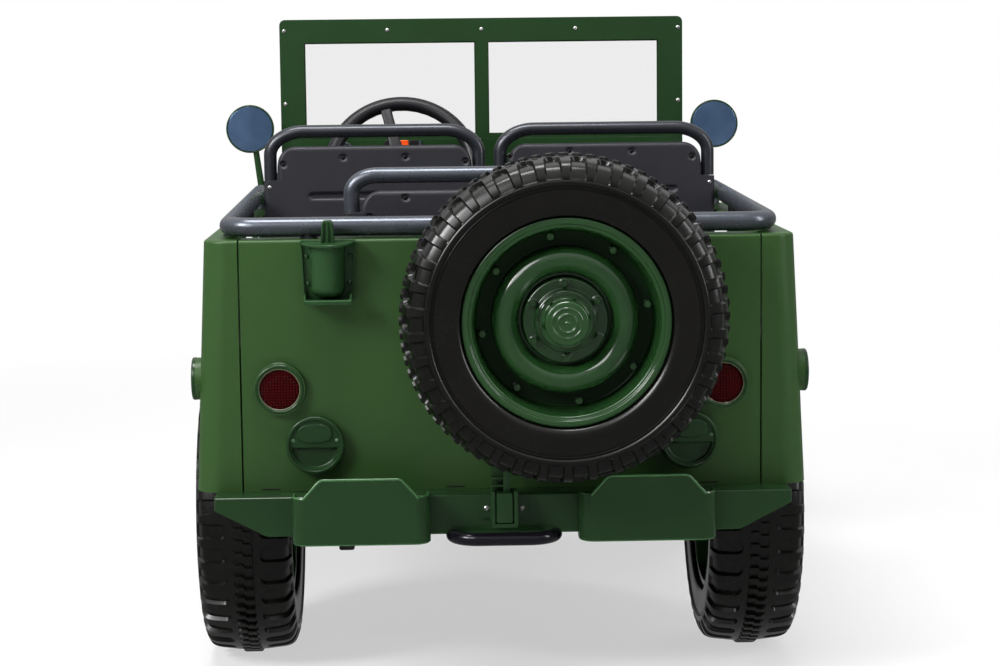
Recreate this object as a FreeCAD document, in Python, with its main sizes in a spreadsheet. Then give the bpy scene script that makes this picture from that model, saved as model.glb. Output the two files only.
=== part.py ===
"""Child's battery ride-on car in the form of an open army 4x4, with three seats.

Row frame: +X to the car's right, +Y forward, +Z up, origin on the ground under
the middle of the car's length.  Lengths are millimetres, angles degrees.
Sizes are cells of the sheet; places are formulas of those cells.
"""
import FreeCAD, Part
import Sketcher
import os
import re

V = FreeCAD.Vector
doc = FreeCAD.newDocument("ride_on_4x4")

# ---------------------------------------------------------------- sizes
SIZES = {
    # whole car
    "rear_axle_set": 245, "front_axle_set": 245, "bumper_set": 249,
    "track_half": 324, "seat_gap": 0.3, "run_fit": 0.05,
    # tub: a drafted moulding, narrower at its top
    "tub_length": 880, "tub_top": 563, "tub_base": 255, "tub_half_top": 360,
    "tub_half_base": 375, "tub_corner": 30, "tub_wall": 6, "deck_width": 44,
    "seam_gap": 2, "edge_round": 4,
    "arch_half": 222, "arch_top": 426, "arch_round": 85,
    "entry_set": 248, "entry_length": 205, "entry_sill": 400, "entry_round": 60,
    "floor_thick": 6, "well_wall": 4, "well_side": 250,
    # lamps and caps on the tub
    "lamp_out": 270, "lamp_height": 382, "lens_radius": 25, "bezel_radius": 31.5,
    "bezel_proud": 8, "lens_sink": 2, "marker_height": 390, "marker_set": 46, "marker_radius": 26,
    "marker_proud": 10, "cap_out": 228, "cap_height": 313.5, "cap_radius": 35.5,
    "cap_proud": 13, "cap_lip": 4, "cap_recess": 3,
    # dash, cowl and windscreen
    "dash_thick": 12, "dash_half": 300, "dash_top": 655, "dash_base": 500,
    "cowl_length": 80, "cowl_top": 616, "cowl_base": 436, "cowl_wall": 5,
    "cowl_shoulder": 52, "cowl_drop": 30, "screen_set": 22,
    "screen_thick": 20, "screen_half": 315, "screen_top": 842, "screen_rail_top": 36,
    "screen_sill": 661, "screen_post": 38, "screen_centre_post": 19, "screen_round": 9,
    "pane_thick": 3,
    # hood, grille, front fenders
    "hood_length": 350, "hood_half_rear": 262, "hood_half_front": 192, "hood_top_front": 590,
    "hood_base": 442, "hood_crown": 9, "hood_round": 26, "hood_wall": 5,
    "grille_thick": 16, "grille_half": 196, "grille_base": 300, "grille_round": 28,
    "slot_count": 9, "slot_pitch": 23, "slot_width": 10.5, "slot_base": 340,
    "slot_height": 190,
    "headlamp_out": 143, "headlamp_height": 505, "headlamp_radius": 36,
    "headlamp_depth": 44, "headlamp_flange": 6, "headlamp_lip": 6, "headlamp_proud": 3,
    "fender_top": 436, "fender_thick": 6, "fender_flare": 3, "fender_inner": 185,
    "fender_lip": 24, "fender_front": 205, "fender_gap": 4, "fender_foot": 20,
    "fender_tail": 30, "fender_drop": 40, "fender_knee": 62, "fender_nose": 12,
    "splash_base": 276, "splash_set": 70, "splash_nose": 30,
    # bumpers and what hangs at the back
    "bumper_half": 352, "bumper_thick": 38, "bumper_base": 215, "bumper_height": 60,
    "bumper_round": 8, "beam_half": 349.5, "beam_base": 206.5, "beam_side": 16,
    "beam_taper": 63.5, "beam_proud": 38, "beam_tuck": 20,
    "plate_out": 172, "strap_half": 83, "strap_base": 203.5, "strap_top": 258,
    "strap_depth": 37, "strap_wall": 5, "strap_round": 18, "plate_half_top": 48,
    "plate_half_base": 69, "plate_top": 282, "plate_foot": 4, "plate_step": 2,
    "hitch_half": 16, "hitch_depth": 24, "hitch_base": 218, "hitch_top": 262, "hitch_wall": 5,
    "hitch_foot_half": 29, "hitch_foot_thick": 4, "hitch_foot_base": 226,
    "tow_half": 64, "tow_reach": 26, "tow_bend": 20, "tow_tube": 6.5, "tow_leg": 80,
    "bracket_x": -208, "bracket_half_top": 34, "bracket_half_base": 31, "bracket_base": 487,
    "bracket_thick": 4, "cup_radius": 21.5, "cup_set": 18, "cup_base": 499, "cup_top": 553,
    "cup_wall": 4, "cup_floor": 8, "peg_root": 10,
    "ledge_depth": 34, "ledge_height": 12, "peg_half": 8.5, "peg_thick": 10, "peg_rise": 24,
    # spare wheel and its carrier
    "spare_x": 72, "spare_height": 473, "spare_plane": 88, "carrier_foot": 72,
    "carrier_foot_thick": 8, "carrier_column": 44, "cup_play": 1,
    # wheels
    "tyre_radius": 195, "tyre_half": 60, "tread_half": 47, "shoulder_radius": 177,
    "bead_radius": 118, "bead_half": 46, "rim_radius": 122.6, "rim_flange": 5,
    "rim_wall": 5, "disc_set": 8, "disc_thick": 7, "ring_radius": 78, "ring_half": 12.5,
    "ring_rise": 20, "plate_radius": 52, "plate_rise": 12, "hub_radius": 37, "hub_rise": 24,
    "hubcap_radius": 26, "hubcap_rise": 52, "axle_radius": 10, "axle_depth": 30,
    "axle_end_gap": 1, "nose_round": 6, "nose_set": 8, "barrel_draft": 6, "plate_round": 4,
    "boss_depth": 12, "boss_set": 10, "bead_seat": 2, "side_rise": 12, "side_set": 3,
    "crown": 8, "bar_half": 13, "carcass": 8, "side_thick": 12, "crown_thick": 4,
    # rail round the load space
    "rail_tube": 11.7, "rail_inset": 29, "rail_set": 20, "rail_lift": 14.5, "rail_bend": 34,
    "rail_slope": 1, "rail_foot_set": 16, "rail_end_bend": 17, "rail_post": 8,
    "rail_post_rear": 70, "rail_post_fore": 347, "rail_post_out": 232, "rail_foot_inset": 2,
    # seats
    "front_back_y": 440, "seat_out": 160.5, "seat_half": 154.5, "seat_hoop_top": 680,
    "seat_hoop_tube": 9, "seat_hoop_bend": 48, "seat_shoulder": 613, "seat_top": 660,
    "seat_back_thick": 34, "seat_cushion_top": 400, "seat_length": 262, "seat_round": 34,
    "seat_foot_thick": 46, "seat_ramp": 10, "hoop_play": 1,
    "rear_back_y": 90, "rear_seat_half": 192, "rear_hoop_top": 634.5,
    "rear_hoop_tube": 10, "rear_shoulder": 589, "rear_top": 616, "rear_cushion_top": 410,
    "rear_seat_length": 225,
    # mirrors
    "mirror_lean": 2, "mirror_height": 674, "mirror_radius": 37.5,
    "mirror_glass": 34.5, "glass_thick": 2, "stalk_radius": 5, "stalk_inset": 16,
    # steering
    "wheel_x": -125, "wheel_set": 149, "wheel_z": 612, "wheel_tilt": 22, "wheel_ring": 108,
    "wheel_grip": 11.5, "wheel_hub": 30, "wheel_hub_thick": 22, "spoke_half": 9,
    "spoke_thick": 9, "spoke_turn": 13.5, "column_radius": 14,
    "column_gap": 2, "shaft_radius": 6, "hub_floor": 4,
    "kingpin_out": 236, "kingpin_radius": 8, "boss_radius": 17, "boss_half": 20,
    "ear_thick": 8, "ear_gap": 0.5, "knuckle_plate": 10, "cheek_gap": 2,
    "arm_length": 48, "arm_thick": 6,
    "arm_half": 9, "tie_radius": 5, "tie_eye": 11, "tie_gap": 0.3, "tie_pin": 3.5,
    "tie_play": 4,
    # chassis, axles, battery
    "frame_out": 155, "frame_half": 15, "frame_height": 36, "member_half": 14,
    "rear_axle_tube": 15, "gearbox_radius": 46, "gearbox_thick": 52, "gearbox_gap": 6,
    "front_beam_half": 14,
    "battery_long": 180, "battery_wide": 120, "battery_high": 100, "battery_set": 60,
    # switches
    "switch_x": -124, "switch_half": 8, "switch_height": 10, "switch_plate_half": 28,
    "switch_plate_thick": 3, "switch_proud": 6, "switch_drop": 5, "switch_margin": 3,
    "dial_x": -217, "dial_radius": 16, "dial_z": 636, "dial_thick": 5,
}

PLACES = {
    "overall_length": "spare_plane + tyre_half + tub_length + front_axle_set + bumper_set"
                      " + bumper_thick",
    "rear_face": "spare_plane + tyre_half - overall_length / 2",
    "front_end": "overall_length / 2",
    "tub_front": "rear_face + tub_length",
    "tub_reach": "tub_half_base + tub_half_top",
    "seam_half": "tub_half_top - deck_width",
    "rear_axle_y": "rear_face + rear_axle_set",
    "front_axle_y": "tub_front + front_axle_set",
    "floor_top": "tub_base + floor_thick",
    "axle_z": "tyre_radius",
    "entry_back_y": "tub_front - entry_set",
    "dash_y": "entry_back_y + entry_length",
    "cowl_back": "dash_y + dash_thick",
    "fender_half": "tub_half_base + fender_flare",
    "cowl_half": "tub_half_top - tub_wall - seat_gap",
    "cowl_front": "cowl_back + cowl_length",
    "screen_y": "cowl_back + screen_set",
    "hood_front": "cowl_front + hood_length",
    "bumper_back": "front_end - bumper_thick",
    "spare_y": "rear_face - spare_plane",
    "beam_back": "rear_face - beam_proud",
    "wheel_inside": "track_half - tyre_half",
    "rail_z": "tub_top + rail_lift",
    "rail_half": "tub_half_top - rail_inset",
    "rail_reach": "entry_back_y - rail_foot_set - rear_face - rail_set - rail_end_bend",
    "marker_x": "tub_half_base - (tub_half_base - tub_half_top)"
                " * (marker_height - tub_base) / (tub_top - tub_base)",
    "frame_base": "tub_base - frame_height",
    "arm_z": "axle_z - boss_half - ear_gap - ear_thick",
    "tie_z": "arm_z - tie_gap - arm_thick",
    "tie_y": "front_axle_y - arm_length",
    "wheel_y": "dash_y - wheel_set",
    "column_length": "wheel_set / cos(wheel_tilt) + column_radius",
    "mirror_y": "dash_y",
    "mirror_out": "tub_half_top + mirror_lean",
    "stalk_foot_out": "tub_half_top - stalk_inset",
}

sheet = doc.addObject("Spreadsheet::Sheet", "Sizes")
for row, (alias, size) in enumerate(SIZES.items(), 1):
    sheet.set("A%d" % row, alias)
    sheet.set("B%d" % row, str(size))
    sheet.setAlias("B%d" % row, alias)
doc.recompute()


def formula(text):
    """A size or place written in words, as an expression on the sheet's cells."""
    def cell(match):
        word = match.group(0)
        if word in SIZES:
            return "Sizes." + word
        if word in PLACES:
            return "(" + formula(PLACES[word]) + ")"
        return word
    return re.sub(r"[a-z][a-z_0-9]*", cell, text)


def number(text):
    """The value of a formula, for choosing edges and for shapes set by hand."""
    return float(sheet.evalExpression(formula(text)))


# ---------------------------------------------------------------- ways of making
TURNS = {"X": V(1, 0, 0), "Y": V(0, 1, 0), "Z": V(0, 0, 1)}


def bind(piece, **texts):
    for size, text in texts.items():
        piece.setExpression(size, formula(text))
    return piece


def put(piece, x="0", y="0", z="0", turn=None, angle="0"):
    """Place a piece at formulas x, y, z, turned by angle about a row axis."""
    if turn:
        piece.Placement = FreeCAD.Placement(V(), FreeCAD.Rotation(TURNS[turn], 1))
        piece.setExpression(".Placement.Rotation.Angle", formula(angle))
    for axis, text in zip("xyz", (x, y, z)):
        piece.setExpression(".Placement.Base." + axis, formula(text))
    return piece


def block(name, x, y, z):
    """A box between pairs of formulas (low, high) on each axis."""
    piece = doc.addObject("Part::Box", name)
    bind(piece, Length="(%s) - (%s)" % (x[1], x[0]), Width="(%s) - (%s)" % (y[1], y[0]),
         Height="(%s) - (%s)" % (z[1], z[0]))
    return put(piece, x[0], y[0], z[0])


ALONG = {"X": ("Y", "90"), "Y": ("X", "-90"), "-Y": ("X", "90"), "Z": ("Z", "0")}


def rod(name, radius, length, x, y, z, along="Z"):
    """A cylinder from its start point, along a row axis."""
    piece = bind(doc.addObject("Part::Cylinder", name), Radius=radius, Height=length)
    turn, angle = ALONG[along]
    return put(piece, x, y, z, turn, angle)


def bend(name, ring, tube, x, y, z, angle="0"):
    """A quarter of a torus in the XY plane, its start turned by angle."""
    piece = bind(doc.addObject("Part::Torus", name), Radius1=ring, Radius2=tube)
    piece.Angle3 = 90
    return put(piece, x, y, z, "Z", angle)


def joined(name, pieces):
    whole = doc.addObject("Part::MultiFuse", name)
    whole.Shapes = pieces
    whole.Refine = True
    return whole


def less(name, base, tools):
    """A base with one or more tools cut away."""
    whole = doc.addObject("Part::Cut", name)
    whole.Base = base
    whole.Tool = tools[0] if len(tools) == 1 else joined(name + "_cuts", tools)
    whole.Refine = True
    return whole


def shared(name, base, tool):
    whole = doc.addObject("Part::Common", name)
    whole.Base = base
    whole.Tool = tool
    whole.Refine = True
    return whole


def mirrored(name, source):
    """The same piece on the car's other side."""
    other = doc.addObject("Part::Mirroring", name)
    other.Source = source
    other.Normal = V(1, 0, 0)
    return other


def sketch_on(body, role, corners, name):
    """A closed outline on one of the body's origin planes, its corners bound to cells."""
    plane = [part for part in body.Origin.OriginFeatures if part.Role == role][0]
    outline = body.newObject("Sketcher::SketchObject", name)
    outline.AttachmentSupport = [(plane, "")]
    outline.MapMode = "FlatFace"
    count = len(corners)
    spots = [V(number(across), number(up), 0) for across, up in corners]
    outline.addGeometry([Part.LineSegment(spots[k], spots[(k + 1) % count])
                         for k in range(count)], False)
    outline.addConstraint([Sketcher.Constraint("Coincident", k, 2, (k + 1) % count, 1)
                           for k in range(count)])
    for k, corner in enumerate(corners):
        for kind, text, value in zip(("DistanceX", "DistanceY"), corner, spots[k]):
            held = outline.addConstraint(Sketcher.Constraint(kind, -1, 1, k, 1, value))
            outline.setExpression("Constraints[%d]" % held, formula(text))
    return outline


def plate(name, role, corners, depth, x="0", y="0", z="0"):
    """An outline padded by depth: up from XY, backwards from XZ, to the right from YZ."""
    body = doc.addObject("PartDesign::Body", name)
    pad = body.newObject("PartDesign::Pad", name + "_pad")
    pad.Profile = sketch_on(body, role, corners, name + "_outline")
    bind(pad, Length=depth)
    doc.recompute()
    return put(body, x, y, z)


def turned(name, corners):
    """An outline of (along, radius) corners turned about the body's X axis."""
    body = doc.addObject("PartDesign::Body", name)
    lathe = body.newObject("PartDesign::Revolution", name + "_turned")
    outline = sketch_on(body, "XZ_Plane", corners, name + "_outline")
    lathe.Profile = outline
    lathe.ReferenceAxis = (outline, ["H_Axis"])
    lathe.Angle = 360
    doc.recompute()
    return body


def soft_block(name, x, y, z):
    """A body holding one box, ready for its edges to be rounded."""
    body = doc.addObject("PartDesign::Body", name)
    core = body.newObject("PartDesign::AdditiveBox", name + "_box")
    bind(core, Length="(%s) - (%s)" % (x[1], x[0]), Width="(%s) - (%s)" % (y[1], y[0]),
         Height="(%s) - (%s)" % (z[1], z[0]))
    doc.recompute()
    return put(body, x[0], y[0], z[0])


def rounded(body, radius, chosen):
    """Round the tip's edges for which chosen(direction, middle) holds, in body space."""
    tip = body.Tip
    names = []
    for index, edge in enumerate(tip.Shape.Edges, 1):
        if len(edge.Vertexes) == 2:
            direction = edge.Vertexes[1].Point - edge.Vertexes[0].Point
            direction.normalize()
            if chosen(direction, edge.BoundBox.Center):
                names.append("Edge%d" % index)
    fillet = body.newObject("PartDesign::Fillet", body.Name + "_round%d" % len(body.Group))
    fillet.Base = (tip, names)
    bind(fillet, Radius=radius)
    doc.recompute()
    return body


def upright(direction, middle):
    return abs(direction.z) > 0.9


def lengthwise(direction, middle):
    return abs(direction.y) > 0.9


def crosswise(direction, middle):
    return abs(direction.x) > 0.9


NODES = []


def sub_part(name, piece):
    piece.Label = name
    NODES.append(piece)
    return piece


# ---------------------------------------------------------------- tub
def tub_section(wall, base):
    """The drafted cross-section, less a wall all round but at its open base."""
    return [("-(tub_half_base - %s)" % wall, base), ("tub_half_base - %s" % wall, base),
            ("tub_half_top - %s" % wall, "tub_top - %s" % wall),
            ("-(tub_half_top - %s)" % wall, "tub_top - %s" % wall)]


def make_tub():
    """Drafted shell, split at the two rear seams into a rear panel and side panels."""
    outer = plate("tub_outer", "XZ_Plane", tub_section("0", "tub_base"), "tub_length",
                  y="tub_front")
    rounded(outer, "tub_corner",
            lambda way, mid: upright(way, mid) and mid.y < -number("tub_length") / 2)
    rounded(outer, "edge_round", lambda way, mid: abs(way.z) < 0.1
            and mid.z > number("tub_top") - 1 and mid.y < -1)
    inner = plate("tub_inner", "XZ_Plane", tub_section("tub_wall", "tub_base - 1"),
                  "tub_length - tub_wall + 1", y="tub_front + 1")
    rounded(inner, "tub_corner - tub_wall",
            lambda way, mid: upright(way, mid) and mid.y < -number("tub_length") / 2)
    mouth = soft_block("tub_mouth", ("deck_width - tub_half_top", "tub_half_top - deck_width"),
                       ("rear_face + deck_width", "tub_front + 1"),
                       ("tub_top - tub_wall - 1", "tub_top + 1"))
    rounded(mouth, "tub_corner", lambda way, mid: upright(way, mid) and mid.y < 1)
    arch = soft_block("tub_arches", ("-tub_reach", "tub_reach"),
                      ("rear_axle_y - arch_half", "rear_axle_y + arch_half"),
                      ("tub_base - 1", "arch_top"))
    rounded(arch, "arch_round", lambda way, mid: crosswise(way, mid)
            and mid.z > number("arch_top - tub_base"))
    cowl_seat = block("tub_cowl_seat", ("tub_wall - tub_half_top", "tub_half_top - tub_wall"),
                      ("cowl_back", "tub_front + 1"), ("tub_top - tub_wall - 1", "tub_top + 1"))
    entry = soft_block("tub_entries", ("-tub_reach", "tub_reach"),
                       ("entry_back_y", "entry_back_y + entry_length"),
                       ("entry_sill", "tub_top + 1"))
    rounded(entry, "entry_round", lambda way, mid: crosswise(way, mid) and mid.z < 1)
    shell = less("tub_shell", outer, [inner, mouth, cowl_seat])

    rear_zone = block("rear_zone", ("-seam_half", "seam_half"),
                      ("rear_face - 1", "rear_face + deck_width"), ("tub_base - 1", "tub_top + 1"))
    panel = shared("rear_skin", shell, rear_zone)
    bezels = []
    for side, sign in (("left", "-"), ("right", "")):
        ring = rod("bezel_" + side, "bezel_radius", "bezel_proud",
                   sign + "lamp_out", "rear_face", "lamp_height", "-Y")
        hole = rod("bezel_hole_" + side, "lens_radius", "bezel_proud + 1",
                   sign + "lamp_out", "rear_face", "lamp_height", "-Y")
        bezels.append(less("bezel_ring_" + side, ring, [hole]))
    sub_part("rear_panel", joined("rear_panel_shape", [panel] + bezels))

    side_zone = block("side_zone", ("-tub_reach", "-seam_half - seam_gap"),
                      ("rear_face - 1", "tub_front"), ("tub_base - 1", "tub_top + 1"))
    skin = less("side_skin", shared("side_whole", shell, side_zone), [arch, entry])
    marker = rod("side_marker", "marker_radius", "marker_proud + tub_wall / 2",
                 "-marker_x - marker_proud", "rear_face + marker_set", "marker_height", "X")
    left = sub_part("side_panel_left", joined("side_left_shape", [skin, marker]))
    sub_part("side_panel_right", mirrored("side_right_shape", left))


def make_floor():
    """Flat floor with a hollow hump over each rear wheel."""
    half = "tub_half_base"
    pan = block("floor_plate", ("-(%s)" % half, half),
                ("rear_face + tub_wall + seat_gap", "tub_front"), ("tub_base", "floor_top"))
    wells, hollows = [], []
    for side, low, high in (("left", "-(%s)" % half, "-well_side"), ("right", "well_side", half)):
        wells.append(block("well_" + side, (low, high),
                           ("rear_axle_y - arch_half", "rear_axle_y + arch_half"),
                           ("tub_base", "arch_top + well_wall")))
        inner_low = low if side == "left" else "well_side + well_wall"
        inner_high = "-well_side - well_wall" if side == "left" else high
        hollows.append(block("well_hollow_" + side,
                             (inner_low + " - 1" if side == "left" else inner_low,
                              inner_high if side == "left" else inner_high + " + 1"),
                             ("rear_axle_y - arch_half + well_wall",
                              "rear_axle_y + arch_half - well_wall"),
                             ("tub_base - 1", "arch_top")))
    humps = less("floor_hollowed", joined("floor_humps", [pan] + wells), hollows)
    room = plate("floor_room", "XZ_Plane", tub_section("(tub_wall + seat_gap)", "tub_base"),
                 "tub_length - tub_wall - seat_gap", y="tub_front")
    rounded(room, "tub_corner - tub_wall - seat_gap",
            lambda way, mid: upright(way, mid) and mid.y < -number("tub_length") / 2)
    sub_part("floor_pan", shared("floor_pan_shape", humps, room))


def make_tub_fittings():
    """Lamp lenses in the bezels and a round cap below each."""
    lenses, caps = [], []
    for side, sign in (("left", "-"), ("right", "")):
        lenses.append(rod("lens_" + side, "lens_radius - seat_gap", "bezel_proud - lens_sink",
                          sign + "lamp_out", "rear_face", "lamp_height", "-Y"))
        disc = rod("cap_disc_" + side, "cap_radius", "cap_proud", sign + "cap_out",
                   "rear_face", "cap_height", "-Y")
        dish = rod("cap_dish_" + side, "cap_radius - cap_lip", "cap_recess + 1", sign + "cap_out",
                   "rear_face - cap_proud + cap_recess", "cap_height", "-Y")
        caps.append(less("cap_" + side, disc, [dish]))
    sub_part("tail_lenses", joined("tail_lenses_shape", lenses))
    sub_part("filler_caps", joined("filler_caps_shape", caps))


# ---------------------------------------------------------------- dash, cowl, windscreen
def make_cowl():
    dash = soft_block("dash_shape", ("-dash_half", "dash_half"), ("dash_y", "cowl_back"),
                      ("dash_base", "dash_top"))
    rounded(dash, "screen_round * 2",
            lambda way, mid: lengthwise(way, mid) and mid.z > number("dash_thick"))
    sub_part("dash_panel", dash)

    def section(wall, base):
        """Half-widths and heights of the cowl: upright side, sloped shoulder, flat top."""
        return [("-(cowl_half - %s)" % wall, base), ("cowl_half - %s" % wall, base),
                ("cowl_half - %s" % wall, "cowl_top - cowl_drop - %s" % wall),
                ("cowl_half - cowl_shoulder - %s" % wall, "cowl_top - %s" % wall),
                ("-(cowl_half - cowl_shoulder - %s)" % wall, "cowl_top - %s" % wall),
                ("-(cowl_half - %s)" % wall, "cowl_top - cowl_drop - %s" % wall)]
    outer = plate("cowl_outer", "XZ_Plane", section("0", "cowl_base"), "cowl_length",
                  y="cowl_front")
    rounded(outer, "screen_round * 2",
            lambda way, mid: lengthwise(way, mid) and mid.z > number("cowl_top - cowl_drop") - 1)
    inner = plate("cowl_inner", "XZ_Plane", section("cowl_wall", "cowl_base - 1"),
                  "cowl_length - cowl_wall + 1", y="cowl_front - cowl_wall")
    sub_part("cowl", less("cowl_shape", outer, [inner]))


def make_windscreen():
    """Flat frame with a centre post, standing on the cowl, and its two panes."""
    back, front = "screen_y - screen_thick / 2", "screen_y + screen_thick / 2"
    frame = soft_block("screen_outer", ("-screen_half", "screen_half"), (back, front),
                       ("cowl_top", "screen_top"))
    rounded(frame, "screen_round",
            lambda way, mid: lengthwise(way, mid) and mid.z > number("screen_top - cowl_top") - 1)
    lights = []
    for side, low, high in (("left", "-screen_half + screen_post", "-screen_centre_post / 2"),
                            ("right", "screen_centre_post / 2", "screen_half - screen_post")):
        light = soft_block("screen_light_" + side, (low, high), (back + " - 1", front + " + 1"),
                           ("screen_sill", "screen_top - screen_rail_top"))
        lights.append(rounded(light, "screen_round / 3", lengthwise))
    sub_part("windscreen_frame", less("screen_shape", frame, lights))
    panes = []
    for side, low, high in (("left", "-screen_half + screen_post", "-screen_centre_post / 2"),
                            ("right", "screen_centre_post / 2", "screen_half - screen_post")):
        pane = soft_block("pane_" + side, (low, high),
                          ("screen_y - pane_thick / 2", "screen_y + pane_thick / 2"),
                          ("screen_sill", "screen_top - screen_rail_top"))
        panes.append(rounded(pane, "screen_round / 3", lengthwise))
    sub_part("windscreen_panes", joined("panes_shape", panes))


# ---------------------------------------------------------------- hood, grille, fenders
def hood_loft(name, wall, spill):
    """Crowned arch lofted from the cowl to the grille, less a wall."""
    body = doc.addObject("PartDesign::Body", name)

    def section(label, half, top, set_back):
        """Upright sides, shoulders rounded in equal steps, and a top crowned at its middle."""
        shoulder = [("%s - hood_round + (hood_round - %s) * cos(%g)" % (half, wall, angle),
                     "%s - hood_crown - hood_round + (hood_round - %s) * sin(%g)"
                     % (top, wall, angle)) for angle in range(0, 91, 15)]
        right = [("%s - %s" % (half, wall), "hood_base - %s" % spill)] + shoulder
        corners = right + [("0", "%s - %s" % (top, wall))]
        corners += [("-(%s)" % across, up) for across, up in reversed(right)]
        outline = sketch_on(body, "XZ_Plane", corners, name + label)
        outline.setExpression(".AttachmentOffset.Base.z", formula("-(%s)" % set_back))
        return outline
    rear = section("_rear", "hood_half_rear", "cowl_top", "0 - " + spill)
    front = section("_front", "hood_half_front", "hood_top_front", "hood_length + " + spill)
    loft = body.newObject("PartDesign::AdditiveLoft", name + "_loft")
    loft.Profile = rear
    loft.Sections = [front]
    loft.Ruled = True
    doc.recompute()
    return put(body, y="cowl_front")


def make_hood():
    sub_part("hood", less("hood_shape", hood_loft("hood_outer", "0", "0"),
                          [hood_loft("hood_inner", "hood_wall", "1")]))


def make_grille():
    """Flat pressed face with upright slots and a lamp hole each side."""
    face = soft_block("grille_face", ("-grille_half", "grille_half"),
                      ("hood_front", "hood_front + grille_thick"),
                      ("grille_base", "hood_top_front"))
    rounded(face, "grille_round",
            lambda way, mid: lengthwise(way, mid) and mid.z > number("grille_thick"))
    holes = []
    for side, sign in (("left", "-"), ("right", "")):
        holes.append(rod("lamp_hole_" + side, "headlamp_radius + seat_gap", "grille_thick + 2",
                         sign + "headlamp_out", "hood_front - 1", "headlamp_height", "Y"))
    count = int(number("slot_count"))
    for index in range(count):
        middle = "slot_pitch * %g" % (index - (count - 1) / 2)
        holes.append(block("grille_slot%d" % index,
                           (middle + " - slot_width / 2", middle + " + slot_width / 2"),
                           ("hood_front - 1", "hood_front + grille_thick + 1"),
                           ("slot_base", "slot_base + slot_height")))
    sub_part("grille", less("grille_shape", face, holes))
    lamps = []
    for side, sign in (("left", "-"), ("right", "")):
        flange = rod("lamp_flange_" + side, "headlamp_radius + headlamp_lip", "headlamp_flange",
                     sign + "headlamp_out", "hood_front - headlamp_flange", "headlamp_height",
                     "Y")
        bowl = rod("lamp_bowl_" + side, "headlamp_radius", "headlamp_depth",
                   sign + "headlamp_out", "hood_front + grille_thick - headlamp_depth + headlamp_proud",
                   "headlamp_height", "Y")
        lamps.append(joined("headlamp_" + side, [flange, bowl]))
    sub_part("headlamps", joined("headlamps_shape", lamps))


def fender_band(drop):
    """Side view of the fender's sheet: sloped tail, flat top, short nose; drop is its depth."""
    tip = "front_axle_y + fender_front"
    return [("tub_front + fender_gap", "tub_base + fender_foot"),
            ("tub_front + fender_tail", "fender_top - fender_drop"),
            ("tub_front + fender_knee", "fender_top"), (tip + " - fender_nose", "fender_top"),
            (tip, "fender_top - fender_lip"), ("%s - %s" % (tip, drop), "fender_top - fender_lip"),
            ("%s - fender_nose - %s * 0.6" % (tip, drop), "fender_top - %s" % drop),
            ("tub_front + fender_knee + %s * 0.45" % drop, "fender_top - %s" % drop),
            ("tub_front + fender_tail + %s * 0.9" % drop,
             "fender_top - fender_drop - %s * 0.4" % drop),
            ("tub_front + fender_gap + %s" % drop, "tub_base + fender_foot")]


def make_fenders():
    """Flat front fender with a rolled lip and an inner splash wall."""
    sheet_part = plate("fender_sheet", "YZ_Plane", fender_band("fender_thick"),
                       "fender_half - fender_inner", x="-fender_half")
    lip = plate("fender_lip_band", "YZ_Plane", fender_band("fender_lip * 0.7"), "fender_thick",
                x="-fender_half")
    wall = block("fender_splash", ("-fender_inner - fender_thick", "-fender_inner"),
                 ("tub_front + splash_set", "front_axle_y + fender_front - splash_nose"),
                 ("splash_base", "fender_top - fender_thick / 2"))
    solid = joined("fender_solid", [sheet_part, lip, wall])
    notch = block("fender_notch", ("-grille_half - seat_gap", "1 - fender_inner"),
                  ("hood_front - seat_gap", "front_end"), ("splash_base - 1", "fender_top + 1"))
    left = sub_part("fender_left", less("fender_left_shape", solid, [notch]))
    sub_part("fender_right", mirrored("fender_right_shape", left))


# ---------------------------------------------------------------- bumpers and rear fittings
def make_bumpers():
    front = soft_block("front_bumper_shape", ("-bumper_half", "bumper_half"),
                       ("bumper_back", "front_end"),
                       ("bumper_base", "bumper_base + bumper_height"))
    rounded(front, "bumper_round", lambda way, mid: not lengthwise(way, mid)
            and mid.y > number("bumper_thick") / 2)
    sub_part("front_bumper", front)
    beam = plate("rear_beam_shape", "XZ_Plane",
                 [("-beam_half", "tub_base"), ("-beam_half", "tub_base - beam_side"),
                  ("-beam_half + beam_taper", "beam_base"), ("beam_half - beam_taper", "beam_base"),
                  ("beam_half", "tub_base - beam_side"), ("beam_half", "tub_base")],
                 "beam_proud + beam_tuck", y="rear_face + beam_tuck")
    sub_part("rear_bumper", beam)

    outer = soft_block("strap_outer", ("-plate_out - strap_half", "-plate_out + strap_half"),
                       ("beam_back - strap_depth", "beam_back"), ("strap_base", "strap_top"))
    rounded(outer, "strap_round", lambda way, mid: upright(way, mid) and mid.y < 1)
    inner = soft_block("strap_inner",
                       ("-plate_out - strap_half + strap_wall",
                        "-plate_out + strap_half - strap_wall"),
                       ("beam_back - strap_depth + strap_wall", "beam_back + 1"),
                       ("strap_base - 1", "strap_top + 1"))
    rounded(inner, "strap_round - strap_wall", lambda way, mid: upright(way, mid) and mid.y < 1)
    number_plate = plate("strap_plate", "XZ_Plane",
                         [("-plate_half_base", "strap_top - plate_foot"),
                          ("plate_half_base", "strap_top - plate_foot"),
                          ("plate_half_base", "strap_top + plate_step"),
                          ("plate_half_top", "plate_top"), ("-plate_half_top", "plate_top"),
                          ("-plate_half_base", "strap_top + plate_step")],
                         "strap_wall", x="-plate_out", y="beam_back - strap_depth + strap_wall")
    strap = less("strap_band", outer, [inner])
    left = sub_part("bumperette_left", joined("bumperette_left_shape", [strap, number_plate]))
    sub_part("bumperette_right", mirrored("bumperette_right_shape", left))


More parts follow.
